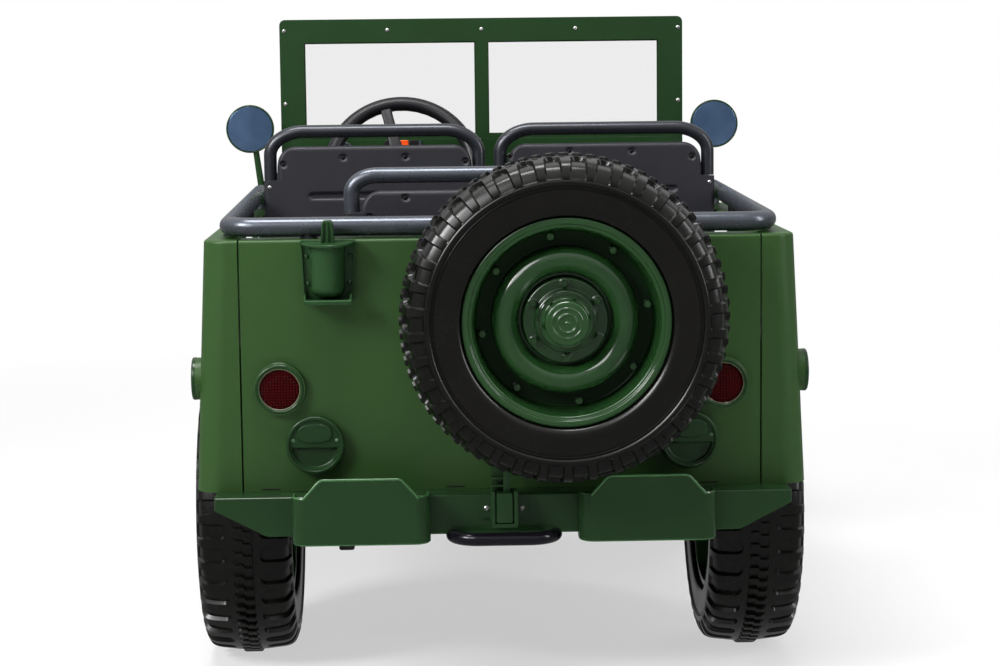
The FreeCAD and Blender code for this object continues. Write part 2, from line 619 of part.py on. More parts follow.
def make_hitch():
    """Square pintle box on a bolted foot, and the bent tow tube under the beam."""
    foot = block("hitch_foot", ("-hitch_foot_half", "hitch_foot_half"),
                 ("beam_back - hitch_foot_thick", "beam_back"), ("hitch_foot_base", "tub_base"))
    tower = block("hitch_box", ("-hitch_half", "hitch_half"),
                  ("beam_back - hitch_depth", "beam_back"), ("hitch_base", "hitch_top"))
    pocket = block("hitch_pocket", ("-hitch_half + hitch_wall", "hitch_half - hitch_wall"),
                   ("beam_back - hitch_depth - 1", "beam_back - hitch_foot_thick"),
                   ("hitch_base + hitch_wall", "hitch_top + 1"))
    sub_part("hitch", less("hitch_shape", joined("hitch_solid", [foot, tower]), [pocket]))
    sub_part("tow_tube", put(u_tube("tow", "tow_half", "tow_leg", "tow_bend", "tow_tube"),
                             "0", "beam_back - tow_reach", "beam_base - tow_tube", "Z", "180"))


def u_tube(name, half, leg, bend_ring, tube):
    """A bent tube in the XY plane: a cross tube on X and two legs towards -Y."""
    flat = "%s - %s" % (half, bend_ring)
    reach = "%s - %s" % (leg, bend_ring)
    return joined(name + "_tube_shape", [
        rod(name + "_cross", tube, "2 * (%s)" % flat, "-(%s)" % flat, "0", "0", "X"),
        bend(name + "_bend_right", bend_ring, tube, flat, "-(%s)" % bend_ring, "0"),
        bend(name + "_bend_left", bend_ring, tube, "-(%s)" % flat, "-(%s)" % bend_ring, "0", "90"),
        rod(name + "_leg_right", tube, reach, half, "-(%s)" % bend_ring, "0", "-Y"),
        rod(name + "_leg_left", tube, reach, "-(%s)" % half, "-(%s)" % bend_ring, "0", "-Y")])


def make_tool_bracket():
    """Holder on the rear panel: tapered back plate, half-round cup, ledge and ribbed peg."""
    back = plate("bracket_back", "XZ_Plane",
                 [("-bracket_half_base", "bracket_base"), ("bracket_half_base", "bracket_base"),
                  ("bracket_half_top", "tub_top"), ("-bracket_half_top", "tub_top")],
                 "bracket_thick", x="bracket_x", y="rear_face")
    face = "rear_face - bracket_thick"
    cup = rod("bracket_cup", "cup_radius", "cup_top - cup_base", "bracket_x",
              face + " - cup_set", "cup_base")
    neck = block("bracket_neck", ("bracket_x - cup_radius", "bracket_x + cup_radius"),
                 (face + " - cup_set", face), ("cup_base", "cup_top"))
    bore = rod("bracket_bore", "cup_radius - cup_wall", "cup_top - cup_base", "bracket_x",
               face + " - cup_set", "cup_base + cup_floor")
    ledge = block("bracket_ledge", ("bracket_x - bracket_half_base", "bracket_x + bracket_half_base"),
                  (face + " - ledge_depth", face), ("bracket_base", "bracket_base + ledge_height"))
    peg = block("bracket_peg", ("bracket_x - peg_half", "bracket_x + peg_half"),
                (face + " - peg_thick", face), ("tub_top - peg_root", "tub_top + peg_rise"))
    solid = joined("bracket_solid", [cup, neck])
    sub_part("tool_bracket", joined("tool_bracket_shape",
                                    [back, less("bracket_hollow", solid, [bore]), ledge, peg]))


# ---------------------------------------------------------------- wheels
def tyre_outline():
    """(along the axle, radius) of the tyre's section, bead to crown and back."""
    half = [("bead_half", "bead_radius + seat_gap"), ("bead_half", "rim_radius + bead_seat"),
            ("tyre_half - side_set", "rim_radius + side_rise"),
            ("tyre_half", "(rim_radius + tyre_radius) / 2"),
            ("tyre_half - side_set / 3", "shoulder_radius"), ("tread_half", "tyre_radius - crown"),
            ("bar_half", "tyre_radius")]
    inside = [("-(bead_half - carcass)", "bead_radius + seat_gap"),
              ("-(tyre_half - side_thick)", "(rim_radius + tyre_radius) / 2"),
              ("-(tread_half - carcass)", "shoulder_radius - crown_thick"),
              ("tread_half - carcass", "shoulder_radius - crown_thick"),
              ("tyre_half - side_thick", "(rim_radius + tyre_radius) / 2"),
              ("bead_half - carcass", "bead_radius + seat_gap")]
    return half + [("-(%s)" % along, radius) for along, radius in reversed(half)] + inside


def rim_outline():
    """(along the axle, radius) of the rim: barrel, flanges, dished disc, hub and cap."""
    barrel = "bead_radius - rim_wall"
    return [("-bead_half - rim_flange", "rim_radius"), ("-bead_half", "rim_radius"),
            ("-bead_half", "bead_radius"), ("bead_half", "bead_radius"), ("bead_half", "rim_radius"),
            ("bead_half + rim_flange", "rim_radius"), ("bead_half + rim_flange", barrel),
            ("disc_set + disc_thick", barrel + " - barrel_draft"),
            ("disc_set + disc_thick", "ring_radius + ring_half"),
            ("disc_set + disc_thick + ring_rise * 0.8", "ring_radius + ring_half * 0.7"),
            ("disc_set + disc_thick + ring_rise", "ring_radius"),
            ("disc_set + disc_thick + ring_rise * 0.8", "ring_radius - ring_half * 0.7"),
            ("disc_set + disc_thick", "ring_radius - ring_half"),
            ("disc_set + disc_thick", "plate_radius + plate_round"),
            ("disc_set + plate_rise", "plate_radius"), ("disc_set + plate_rise", "hub_radius"),
            ("disc_set + hub_rise", "hub_radius"), ("disc_set + hub_rise", "hubcap_radius"),
            ("disc_set + hubcap_rise - nose_round", "hubcap_radius"),
            ("disc_set + hubcap_rise", "hubcap_radius - nose_set"), ("disc_set + hubcap_rise", "0"),
            ("disc_set + axle_depth", "0"), ("disc_set + axle_depth", "axle_radius + run_fit"),
            ("disc_set - boss_depth", "axle_radius + run_fit"),
            ("disc_set - boss_depth", "hub_radius - boss_set"),
            ("disc_set", "hub_radius - boss_set"), ("disc_set", barrel),
            ("-bead_half - rim_flange", barrel)]


def make_wheels():
    """Four road wheels with their discs outwards, and the spare with its disc backwards."""
    places = (("rear_left", "-track_half", "rear_axle_y", "axle_z", "180"),
              ("rear_right", "track_half", "rear_axle_y", "axle_z", "0"),
              ("front_left", "-track_half", "front_axle_y", "axle_z", "180"),
              ("front_right", "track_half", "front_axle_y", "axle_z", "0"),
              ("spare", "spare_x", "spare_y", "spare_height", "-90"))
    for name, x, y, z, turn in places:
        tyre = turned(name + "_tyre_shape", tyre_outline())
        sub_part(name + "_tyre", put(tyre, x, y, z, "Z", turn))
        rim = turned(name + "_rim_shape", rim_outline())
        sub_part(name + "_rim", put(rim, x, y, z, "Z", turn))


def make_spare_carrier():
    foot = rod("carrier_foot_disc", "carrier_foot", "carrier_foot_thick", "spare_x", "rear_face",
               "spare_height", "-Y")
    column = rod("carrier_column_rod", "carrier_column", "spare_plane + disc_set", "spare_x",
                 "rear_face", "spare_height", "-Y")
    bore = rod("carrier_bore", "hub_radius + cup_play", "spare_plane + disc_set", "spare_x",
               "rear_face - carrier_foot_thick", "spare_height", "-Y")
    sub_part("spare_carrier", less("carrier_shape", joined("carrier_solid", [foot, column]), [bore]))


# ---------------------------------------------------------------- chassis, axles, steering
def make_chassis():
    pieces = []
    for side, sign in (("left", "-"), ("right", "")):
        pieces.append(block("frame_" + side,
                            (sign + "frame_out - frame_half", sign + "frame_out + frame_half"),
                            ("rear_face + beam_tuck", "bumper_back"), ("frame_base", "tub_base")))
    for index, place in enumerate(("rear_face + beam_tuck + member_half", "rear_axle_y",
                                   "entry_back_y", "front_axle_y",
                                   "hood_front + grille_thick - member_half")):
        pieces.append(block("member_%d" % index, ("-frame_out", "frame_out"),
                            (place + " - member_half", place + " + member_half"),
                            ("frame_base", "tub_base")))
    # saddles that hold the rear axle tube and the front beam below the side members
    for index, (x, place, thick) in enumerate((("-frame_out", "rear_axle_y", "rear_axle_tube"),
                                               ("frame_out", "rear_axle_y", "rear_axle_tube"),
                                               ("-frame_out", "front_axle_y", "front_beam_half"),
                                               ("frame_out", "front_axle_y", "front_beam_half"))):
        pieces.append(block("saddle_%d" % index, (x + " - frame_half", x + " + frame_half"),
                            (place + " - member_half", place + " + member_half"),
                            ("axle_z + %s" % thick, "frame_base + 1")))
    sub_part("chassis", joined("chassis_shape", pieces))


def make_axles():
    """Rear axle tube with a gearbox beside each wheel; front beam with a bored boss each end."""
    inner = "wheel_inside - gearbox_gap"
    rear = [rod("rear_tube", "rear_axle_tube", "2 * (%s - gearbox_thick)" % inner,
                "-(%s - gearbox_thick)" % inner, "rear_axle_y", "axle_z", "X")]
    for side, sign, start in (("left", "-", "-track_half - disc_set - axle_depth + axle_end_gap"),
                              ("right", "", "wheel_inside - gearbox_gap")):
        stub_length = "track_half + disc_set + axle_depth - axle_end_gap - (%s)" % inner
        rear.append(rod("rear_stub_" + side, "axle_radius", stub_length, start, "rear_axle_y",
                        "axle_z", "X"))
    boxes = []
    for side, low in (("left", "-(%s)" % inner), ("right", inner + " - gearbox_thick")):
        boxes.append(rod("gearbox_drum_" + side, "gearbox_radius", "gearbox_thick", low,
                         "rear_axle_y", "axle_z", "X"))
        boxes.append(block("gearbox_motor_" + side, (low, low + " + gearbox_thick"),
                           ("rear_axle_y - gearbox_radius * 2.2", "rear_axle_y"),
                           ("axle_z - gearbox_radius * 0.7", "axle_z + gearbox_radius * 0.7")))
    sub_part("rear_axle", joined("rear_axle_shape", rear + boxes))

    beam = block("front_beam", ("-kingpin_out", "kingpin_out"),
                 ("front_axle_y - front_beam_half", "front_axle_y + front_beam_half"),
                 ("axle_z - front_beam_half", "axle_z + front_beam_half"))
    bosses, bores = [], []
    for side, sign in (("left", "-"), ("right", "")):
        bosses.append(rod("boss_" + side, "boss_radius", "2 * boss_half", sign + "kingpin_out",
                          "front_axle_y", "axle_z - boss_half"))
        bores.append(rod("boss_bore_" + side, "kingpin_radius + run_fit", "2 * boss_half + 2",
                         sign + "kingpin_out", "front_axle_y", "axle_z - boss_half - 1"))
    sub_part("front_axle", less("front_axle_shape", joined("front_beam_solid", [beam] + bosses),
                                bores))


def make_knuckles():
    """Forked knuckle with its kingpin, stub axle and steering arm; made left, mirrored right."""
    reach = "(boss_half + ear_gap)"
    ears, tip = [], "axle_z + %s" % reach
    for label, low in (("upper", tip), ("lower", "axle_z - %s - ear_thick" % reach)):
        ears.append(rod("ear_round_" + label, "boss_radius", "ear_thick", "-kingpin_out",
                        "front_axle_y", low))
        ears.append(block("ear_arm_" + label,
                          ("-kingpin_out - boss_radius - cheek_gap - knuckle_plate", "-kingpin_out"),
                          ("front_axle_y - boss_radius", "front_axle_y + boss_radius"),
                          (low, low + " + ear_thick")))
    pin = rod("kingpin", "kingpin_radius", "2 * (%s) + 2 * ear_thick" % reach, "-kingpin_out",
              "front_axle_y", "axle_z - %s - ear_thick" % reach)
    cheek = block("knuckle_cheek",
                  ("-kingpin_out - boss_radius - cheek_gap - knuckle_plate",
                   "-kingpin_out - boss_radius - cheek_gap"),
                  ("front_axle_y - boss_radius", "front_axle_y + boss_radius"),
                  ("axle_z - %s - ear_thick" % reach, "axle_z + %s + ear_thick" % reach))
    stub = rod("knuckle_stub", "axle_radius",
               "track_half + disc_set + axle_depth - axle_end_gap - kingpin_out - boss_radius"
               " - cheek_gap",
               "-track_half - disc_set - axle_depth + axle_end_gap", "front_axle_y", "axle_z", "X")
    arm = block("steering_arm", ("-kingpin_out - arm_half", "-kingpin_out + arm_half"),
                ("tie_y - arm_half", "front_axle_y"), ("arm_z - arm_thick", "arm_z + 1"))
    arm_pin = rod("steering_arm_pin", "tie_pin", "arm_thick + tie_gap * 2 + 1", "-kingpin_out",
                  "tie_y", "tie_z - arm_thick - tie_gap - 1")
    left = sub_part("knuckle_left", joined("knuckle_left_shape",
                                           ears + [pin, cheek, stub, arm, arm_pin]))
    sub_part("knuckle_right", mirrored("knuckle_right_shape", left))
    low = "tie_z - arm_thick"
    bar = block("tie_bar", ("-kingpin_out", "kingpin_out"), ("tie_y - tie_radius", "tie_y + tie_radius"),
                (low, low + " + arm_thick"))
    eyes, holes = [], []
    for side, sign in (("left", "-"), ("right", "")):
        eyes.append(rod("tie_eye_" + side, "tie_eye", "arm_thick", sign + "kingpin_out", "tie_y", low))
        holes.append(rod("tie_hole_" + side, "tie_pin + tie_play", "arm_thick + 2",
                         sign + "kingpin_out", "tie_y", low + " - 1"))
    sub_part("tie_rod", less("tie_rod_shape", joined("tie_solid", [bar] + eyes), holes))


def make_steering():
    """Three-spoke wheel on a raked column that ends at the dash."""
    ring = bind(doc.addObject("Part::Torus", "wheel_rim_ring"), Radius1="wheel_ring",
                Radius2="wheel_grip")
    hub = rod("wheel_hub_disc", "wheel_hub", "wheel_hub_thick", "0", "0", "-wheel_hub_thick / 2")
    spokes = []
    for index in range(3):
        spoke = bind(doc.addObject("Part::Box", "wheel_spoke%d" % index),
                     Length="wheel_ring", Width="2 * spoke_half", Height="spoke_thick")
        angle = "90 + spoke_turn + %d" % (120 * index)
        spokes.append(put(spoke, "spoke_half * sin(%s)" % angle, "-spoke_half * cos(%s)" % angle,
                          "-spoke_thick / 2", "Z", angle))
    bore = rod("wheel_bore", "shaft_radius + run_fit", "wheel_hub_thick", "0", "0",
               "-wheel_hub_thick / 2 - hub_floor")
    wheel = less("steering_wheel_shape", joined("wheel_solid", [ring, hub] + spokes), [bore])
    sub_part("steering_wheel", put(wheel, "wheel_x", "wheel_y", "wheel_z", "X", "90 - wheel_tilt"))

    column = rod("column_tube", "column_radius", "column_length", "0", "0",
                 "-wheel_hub_thick / 2 - column_gap - column_length")
    shaft = rod("column_shaft", "shaft_radius", "wheel_hub_thick", "0", "0",
                "-1.5 * wheel_hub_thick + hub_floor")
    raked = put(joined("column_solid", [column, shaft]), "wheel_x", "wheel_y", "wheel_z", "X",
                "90 - wheel_tilt")
    beyond = block("column_beyond", ("wheel_x - column_length", "wheel_x + column_length"),
                   ("dash_y", "dash_y + 2 * column_length"), ("0", "screen_top"))
    sub_part("steering_column", less("steering_column_shape", raked, [beyond]))


def make_battery():
    sub_part("battery", block("battery_shape", ("-battery_wide / 2", "battery_wide / 2"),
                              ("cowl_front + battery_set", "cowl_front + battery_set + battery_long"),
                              ("tub_base", "tub_base + battery_high")))


# ---------------------------------------------------------------- seats, rail, mirrors, dash
def make_seat(name, centre, half, back, hoop_top, tube, bend_ring, shoulder, top, cushion, length):
    """Moulded seat: L-shaped shell with a stepped back, and a bent tube over its shoulders."""
    leg = "%s - %s" % (hoop_top, shoulder)
    hoop = u_tube(name + "_hoop", "%s - %s" % (half, tube), leg, bend_ring, tube)
    sub_part(name + "_seat_frame", put(hoop, centre, "%s + seat_back_thick / 2" % back, hoop_top,
                                       "X", "90"))
    corners = [(back, "floor_top"), ("%s + %s" % (back, length), "floor_top"),
               ("%s + %s" % (back, length), cushion),
               ("%s + seat_foot_thick" % back, "%s - seat_ramp" % cushion),
               ("%s + seat_back_thick" % back, shoulder), (back, shoulder)]
    lower = plate(name + "_seat_lower", "YZ_Plane", corners, "2 * (%s)" % half,
                  x="%s - %s" % (centre, half))
    upper = soft_block(name + "_seat_upper",
                       ("%s - %s + 2 * %s + hoop_play" % (centre, half, tube),
                        "%s + %s - 2 * %s - hoop_play" % (centre, half, tube)),
                       (back, "%s + seat_back_thick" % back), ("%s - 1" % shoulder, top))
    rounded(upper, "(%s - %s) * 0.8" % (top, shoulder),
            lambda way, mid: lengthwise(way, mid) and mid.z > 2)
    shell = joined(name + "_seat_solid", [lower, upper])
    humps = [block(name + "_seat_notch_left", ("-tub_half_base", "-well_side + seat_gap"),
                   ("rear_face", "rear_axle_y + arch_half + seat_gap"),
                   ("floor_top - 1", "arch_top + well_wall + seat_gap")),
             block(name + "_seat_notch_right", ("well_side - seat_gap", "tub_half_base"),
                   ("rear_face", "rear_axle_y + arch_half + seat_gap"),
                   ("floor_top - 1", "arch_top + well_wall + seat_gap"))]
    sub_part(name + "_seat_shell", less(name + "_seat_shape", shell, humps))


def make_seats():
    for name, centre in (("driver", "-seat_out"), ("passenger", "seat_out")):
        make_seat(name, centre, "seat_half", "(rear_face + front_back_y)", "seat_hoop_top",
                  "seat_hoop_tube", "seat_hoop_bend", "seat_shoulder", "seat_top",
                  "seat_cushion_top", "seat_length")
    make_seat("rear", "0", "rear_seat_half", "(rear_face + rear_back_y)", "rear_hoop_top",
              "rear_hoop_tube", "rear_hoop_tube * 3.2", "rear_shoulder", "rear_top",
              "rear_cushion_top", "rear_seat_length")


def make_rail():
    """Tube round the load space, rising forward, its front ends bent down to the deck."""
    flat = put(u_tube("rail", "rail_half", "rail_reach", "rail_bend", "rail_tube"), "0", "0", "0",
               "Z", "180")
    ends = []
    for side, sign in (("left", "-"), ("right", "")):
        quarter = bend("rail_end_" + side, "rail_end_bend", "rail_tube", "0", "0", "0")
        ends.append(put(quarter, sign + "rail_half", "rail_reach", "-rail_end_bend", "Y", "-90"))
    sloped = put(joined("rail_sloped", [flat] + ends), "0", "rear_face + rail_set", "rail_z", "X",
                 "rail_slope")
    feet = []
    for side, sign in (("left", "-"), ("right", "")):
        feet.append(rod("rail_foot_" + side, "rail_tube - rail_foot_inset",
                        "rail_lift - rail_end_bend + rail_reach * sin(rail_slope) + 1",
                        sign + "rail_half", "entry_back_y - rail_foot_set", "tub_top"))
        for index, along in enumerate(("rail_post_rear", "rail_post_fore")):
            feet.append(rod("rail_post_%s%d" % (side, index), "rail_post",
                            "rail_lift + %s * sin(rail_slope)" % along,
                            sign + "rail_half", "rear_face + rail_set + %s" % along, "tub_top"))
        feet.append(rod("rail_rear_post_" + side, "rail_post", "rail_lift",
                        sign + "rail_post_out", "rear_face + rail_set", "tub_top"))
    sub_part("rail", joined("rail_shape", [sloped] + feet))


def make_mirrors():
    """Round mirror on a leaning stalk; its glass faces backwards."""
    glasses = []
    for side, sign in (("left", "-"), ("right", "")):
        head = rod("mirror_head_" + side, "mirror_radius", "dash_thick", sign + "mirror_out",
                   "mirror_y", "mirror_height", "Y")
        stalk = bind(doc.addObject("Part::Cylinder", "mirror_stalk_" + side),
                     Radius="stalk_radius", Height="mirror_height - tub_top")
        put(stalk, sign + "stalk_foot_out", "mirror_y + dash_thick / 2", "tub_top", "Y",
            "%satan((mirror_out - stalk_foot_out) / (mirror_height - tub_top))" % sign)
        trim = block("mirror_trim_" + side, (sign + "stalk_foot_out - mirror_radius",
                                               sign + "stalk_foot_out + mirror_radius"),
                     ("mirror_y - mirror_radius", "mirror_y + mirror_radius"),
                     ("tub_top - 2 * stalk_radius", "tub_top"))
        sub_part("mirror_" + side, less("mirror_shape_" + side,
                                        joined("mirror_solid_" + side, [head, stalk]), [trim]))
        glasses.append(rod("mirror_glass_disc_" + side, "mirror_glass", "glass_thick",
                           sign + "mirror_out", "mirror_y", "mirror_height", "-Y"))
    sub_part("mirror_glasses", joined("mirror_glasses_shape", glasses))


def make_dash_fittings():
    """Rocker on its plate beside a round dial, on the dash face."""
    base = block("switch_plate", ("switch_x - switch_plate_half", "switch_x + switch_plate_half"),
                 ("dash_y - switch_plate_thick", "dash_y"),
                 ("dash_top - switch_drop - switch_height - switch_margin",
                  "dash_top - switch_drop + switch_margin"))
    dial = rod("dial_disc", "dial_radius", "dial_thick", "dial_x", "dash_y", "dial_z", "-Y")
    sub_part("dash_instruments", joined("dash_instruments_shape", [base, dial]))
    sub_part("dash_switch", block("dash_switch_shape",
                                  ("switch_x - switch_half", "switch_x + switch_half"),
                                  ("dash_y - switch_plate_thick - switch_proud",
                                   "dash_y - switch_plate_thick"),
                                  ("dash_top - switch_drop - switch_height",
                                   "dash_top - switch_drop")))


for make in (make_tub, make_floor, make_tub_fittings, make_cowl, make_windscreen, make_hood,
             make_grille, make_fenders, make_bumpers, make_hitch, make_tool_bracket, make_wheels,
             make_spare_carrier, make_chassis, make_axles, make_knuckles, make_steering,
             make_battery, make_seats, make_rail, make_mirrors, make_dash_fittings):
    make()
doc.recompute()

# ---------------------------------------------------------------- checks and files
for piece in doc.Objects:
    if "Invalid" in piece.State or "Error" in piece.State:
        raise ValueError("%s did not compute: %s" % (piece.Label, piece.State))
for piece in NODES:
    if piece.Shape.isNull() or not piece.Shape.isValid() or not piece.Shape.Solids:
        raise ValueError("%s has no valid shape" % piece.Label)

os.makedirs("parts", exist_ok=True)
for piece in NODES:
    piece.Shape.exportStep("parts/%s.step" % piece.Label)
    box = piece.Shape.BoundBox
    print("%-22s %d solids  x %.0f..%.0f  y %.0f..%.0f  z %.0f..%.0f" % (
        piece.Label, len(piece.Shape.Solids), box.XMin, box.XMax, box.YMin, box.YMax,
        box.ZMin, box.ZMax))
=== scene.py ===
import bpy
import numpy as np
from mathutils import Matrix, Vector


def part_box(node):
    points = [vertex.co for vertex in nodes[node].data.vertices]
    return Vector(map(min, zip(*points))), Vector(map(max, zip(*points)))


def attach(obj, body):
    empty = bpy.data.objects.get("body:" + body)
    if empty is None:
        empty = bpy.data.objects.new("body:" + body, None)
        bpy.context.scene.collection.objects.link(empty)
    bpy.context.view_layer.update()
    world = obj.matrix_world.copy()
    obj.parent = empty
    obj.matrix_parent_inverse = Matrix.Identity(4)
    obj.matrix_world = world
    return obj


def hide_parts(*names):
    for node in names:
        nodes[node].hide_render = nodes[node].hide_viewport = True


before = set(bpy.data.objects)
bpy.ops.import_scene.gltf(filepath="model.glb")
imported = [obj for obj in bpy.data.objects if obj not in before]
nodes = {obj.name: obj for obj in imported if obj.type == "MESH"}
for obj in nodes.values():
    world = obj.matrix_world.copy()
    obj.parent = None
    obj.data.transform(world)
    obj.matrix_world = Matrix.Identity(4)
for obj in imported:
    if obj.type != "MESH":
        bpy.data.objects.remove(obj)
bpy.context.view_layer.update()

# ---------------- studio
# A plain white cyclorama. The floor is matt near the toy, so that it keeps the
# toy's shadow, and fades to plain white further out. Five soft boxes light it; in a
# reflection the horizon is dim, like the walls of a studio, and the white is overhead.
scene = bpy.context.scene
scene.view_settings.view_transform = "Standard"

CAMERA_SPOT = (-0.08502, -3.4456, 0.77403)
CAMERA_YAW, CAMERA_DIP, CAMERA_ROLL = np.radians([1.70, 6.64, 0.64])
camera = bpy.data.objects.new("camera", bpy.data.cameras.new("camera"))
camera.data.sensor_width, camera.data.lens = 36.0, 83.95
camera.matrix_world = (Matrix.Translation(CAMERA_SPOT) @ Matrix.Rotation(-CAMERA_YAW, 4, "Z")
                       @ Matrix.Rotation(np.pi / 2 - CAMERA_DIP, 4, "X")
                       @ Matrix.Rotation(-CAMERA_ROLL, 4, "Z"))
scene.collection.objects.link(camera)
scene.camera = camera


class Nodes:
    """A node tree written out step by step, with short names for what it needs."""

    def __init__(self, tree):
        self.tree = tree

    def node(self, kind, values=(), **settings):
        """A new node with its settings, and with constants on its sockets."""
        made = self.tree.nodes.new("ShaderNode" + kind)
        for key, value in settings.items():
            setattr(made, key, value)
        for key, value in dict(values).items():
            made.inputs[key].default_value = value
        return made

    def join(self, source, target):
        self.tree.links.new(source, target)

    def math(self, operation, *terms):
        """The result of a maths step whose terms are sockets or plain numbers."""
        made = self.node("Math", operation=operation)
        for term, entry in zip(terms, made.inputs):
            if isinstance(term, bpy.types.NodeSocket):
                self.join(term, entry)
            else:
                entry.default_value = term
        return made.outputs[0]

    def span(self, value, low, high, to_low=0.0, to_high=1.0):
        """value carried from low..high to to_low..to_high, and held at the ends."""
        made = self.node("MapRange", {"From Min": low, "From Max": high,
                                      "To Min": to_low, "To Max": to_high})
        self.join(value, made.inputs["Value"])
        return made.outputs["Result"]

    def background_seen(self):
        """1 where the camera, a reflection or a view through glass meets the background."""
        paths = self.node("LightPath").outputs
        seen = self.math("MAXIMUM", paths["Is Camera Ray"], paths["Is Glossy Ray"])
        return self.math("MAXIMUM", seen, paths["Is Transmission Ray"])

    def mirrored_level(self, change):
        """A strength of 1 + change in a reflection and 1 elsewhere."""
        mirrored = self.node("LightPath").outputs["Is Glossy Ray"]
        return self.math("MULTIPLY_ADD", mirrored, change, 1.0)


class Finish(Nodes):
    """A material's nodes, round the shader that Blender starts it with."""

    def __init__(self, name, values=()):
        self.material = bpy.data.materials.new(name)
        self.material.use_nodes = True
        super().__init__(self.material.node_tree)
        self.shader = self.tree.nodes["Principled BSDF"]
        for key, value in dict(values).items():
            self.shader.inputs[key].default_value = value

    def feed(self, source, name):
        self.join(source, self.shader.inputs[name])

    def spots(self):
        """Object coordinates, in metres."""
        return self.node("TexCoord").outputs["Object"]

    def noise(self, scale, detail=3.0, roughness=0.5):
        """Noise on Object coordinates, with cells about 1/scale metres wide."""
        made = self.node("TexNoise", {"Scale": scale, "Detail": detail,
                                      "Roughness": roughness})
        self.join(self.spots(), made.inputs["Vector"])
        return made.outputs["Fac"]

    def tones(self, value, *stops):
        """A colour that runs between two (place, colour) stops."""
        made = self.node("ValToRGB")
        for element, (place, colour) in zip(made.color_ramp.elements, stops):
            element.position, element.color = place, (*colour, 1.0)
        self.join(value, made.inputs["Fac"])
        return made.outputs["Color"]

    def bump(self, *layers):
        """Heights in metres, added one on another: (value, distance) layers."""
        before = None
        for value, distance in layers:
            made = self.node("Bump", {"Distance": distance, "Strength": 1.0})
            self.join(value, made.inputs["Height"])
            if before is not None:
                self.join(before, made.inputs["Normal"])
            before = made.outputs["Normal"]
        self.feed(before, "Normal")


# What a reflection sees is dimmed by this share at the horizon.
HORIZON_LOSS = 0.72
backdrop = Finish("cyclorama", {"Base Color": (0.96, 0.96, 0.96, 1), "Roughness": 0.9,
                                "Specular IOR Level": 0.0})
spread_out = backdrop.node("VectorMath", operation="LENGTH")
backdrop.join(backdrop.spots(), spread_out.inputs[0])
fade = backdrop.span(spread_out.outputs["Value"], 1.0, 3.0, 0.55, 1.0)
share = backdrop.math("MULTIPLY", backdrop.background_seen(), fade)
mirrored = backdrop.node("LightPath").outputs["Is Glossy Ray"]
glow = backdrop.node("Emission")
backdrop.join(backdrop.mirrored_level(-HORIZON_LOSS), glow.inputs["Strength"])
mixed = backdrop.node("MixShader")
backdrop.join(backdrop.math("MAXIMUM", mirrored, share), mixed.inputs["Fac"])
backdrop.join(backdrop.shader.outputs["BSDF"], mixed.inputs[1])
backdrop.join(glow.outputs["Emission"], mixed.inputs[2])
backdrop.join(mixed.outputs["Shader"], backdrop.tree.nodes["Material Output"].inputs["Surface"])
FLOOR_RADIUS = 30
turns = np.linspace(0, 2 * np.pi, 96, endpoint=False)
floor_mesh = bpy.data.meshes.new("floor")
floor_mesh.from_pydata(np.column_stack([FLOOR_RADIUS * np.cos(turns),
                                        FLOOR_RADIUS * np.sin(turns),
                                        np.zeros(96)]).tolist(), [], [list(range(96))])
floor = bpy.data.objects.new("floor", floor_mesh)
floor.data.materials.append(backdrop.material)
scene.collection.objects.link(floor)

sky = bpy.data.worlds.new("studio")
scene.world = sky
sky.use_nodes = True
sky_nodes = Nodes(sky.node_tree)
ambient = sky.node_tree.nodes["Background"]
ambient.inputs["Color"].default_value = (1, 1, 1, 1)
ambient.inputs["Strength"].default_value = 0.17
white = sky_nodes.node("Background", {"Color": (1, 1, 1, 1)})
climb = sky_nodes.node("SeparateXYZ")
sky_nodes.join(sky_nodes.node("TexCoord").outputs["Generated"], climb.inputs[0])
low_down = sky_nodes.span(climb.outputs["Z"], 0.1, 0.7, -HORIZON_LOSS, 0.0)
sky_nodes.join(sky_nodes.mirrored_level(low_down), white.inputs["Strength"])
sky_mix = sky_nodes.node("MixShader")
sky_nodes.join(sky_nodes.background_seen(), sky_mix.inputs["Fac"])
sky_nodes.join(ambient.outputs["Background"], sky_mix.inputs[1])
sky_nodes.join(white.outputs["Background"], sky_mix.inputs[2])
sky_nodes.join(sky_mix.outputs["Shader"], sky.node_tree.nodes["World Output"].inputs["Surface"])


def soft_box(name, spot, aim, width, height, power):
    """A rectangular lamp at spot that faces aim."""
    lamp = bpy.data.lights.new(name, "AREA")
    lamp.shape, lamp.size, lamp.size_y, lamp.energy = "RECTANGLE", width, height, power
    made = bpy.data.objects.new(name, lamp)
    made.location = spot
    made.rotation_mode = "QUATERNION"
    made.rotation_quaternion = (Vector(aim) - Vector(spot)).to_track_quat("-Z", "Y")
    scene.collection.objects.link(made)
    return made


soft_box("box_key", (-2.7, -2.5, 2.4), (0.0, -0.5, 0.4), 1.0, 1.2, 112)
soft_box("box_over", (-0.4, -1.0, 3.0), (0.0, -0.2, 0.4), 1.7, 0.8, 78)
soft_box("box_right", (2.5, -1.7, 1.5), (0.0, -0.4, 0.4), 0.35, 1.7, 28)
soft_box("box_glint", (-1.5, -2.8, 2.1), (0.1, -0.7, 0.5), 1.4, 1.4, 44).visible_diffuse = False
soft_box("box_front", (1.2, 3.3, 2.2), (0.0, 0.2, 0.4), 1.9, 1.5, 62).visible_glossy = False

# ---------------- chassis and battery
# Two box-section steel members with five cross members welded between them, painted
# satin black. The battery is a plain sealed case strapped on top of the front bay.


def linear(red, green, blue):
    """A screen colour of 0..255 per channel as linear light."""
    screen = np.array([red, green, blue]) / 255.0
    return np.where(screen <= 0.04045, screen / 12.92, ((screen + 0.055) / 1.055) ** 2.4)


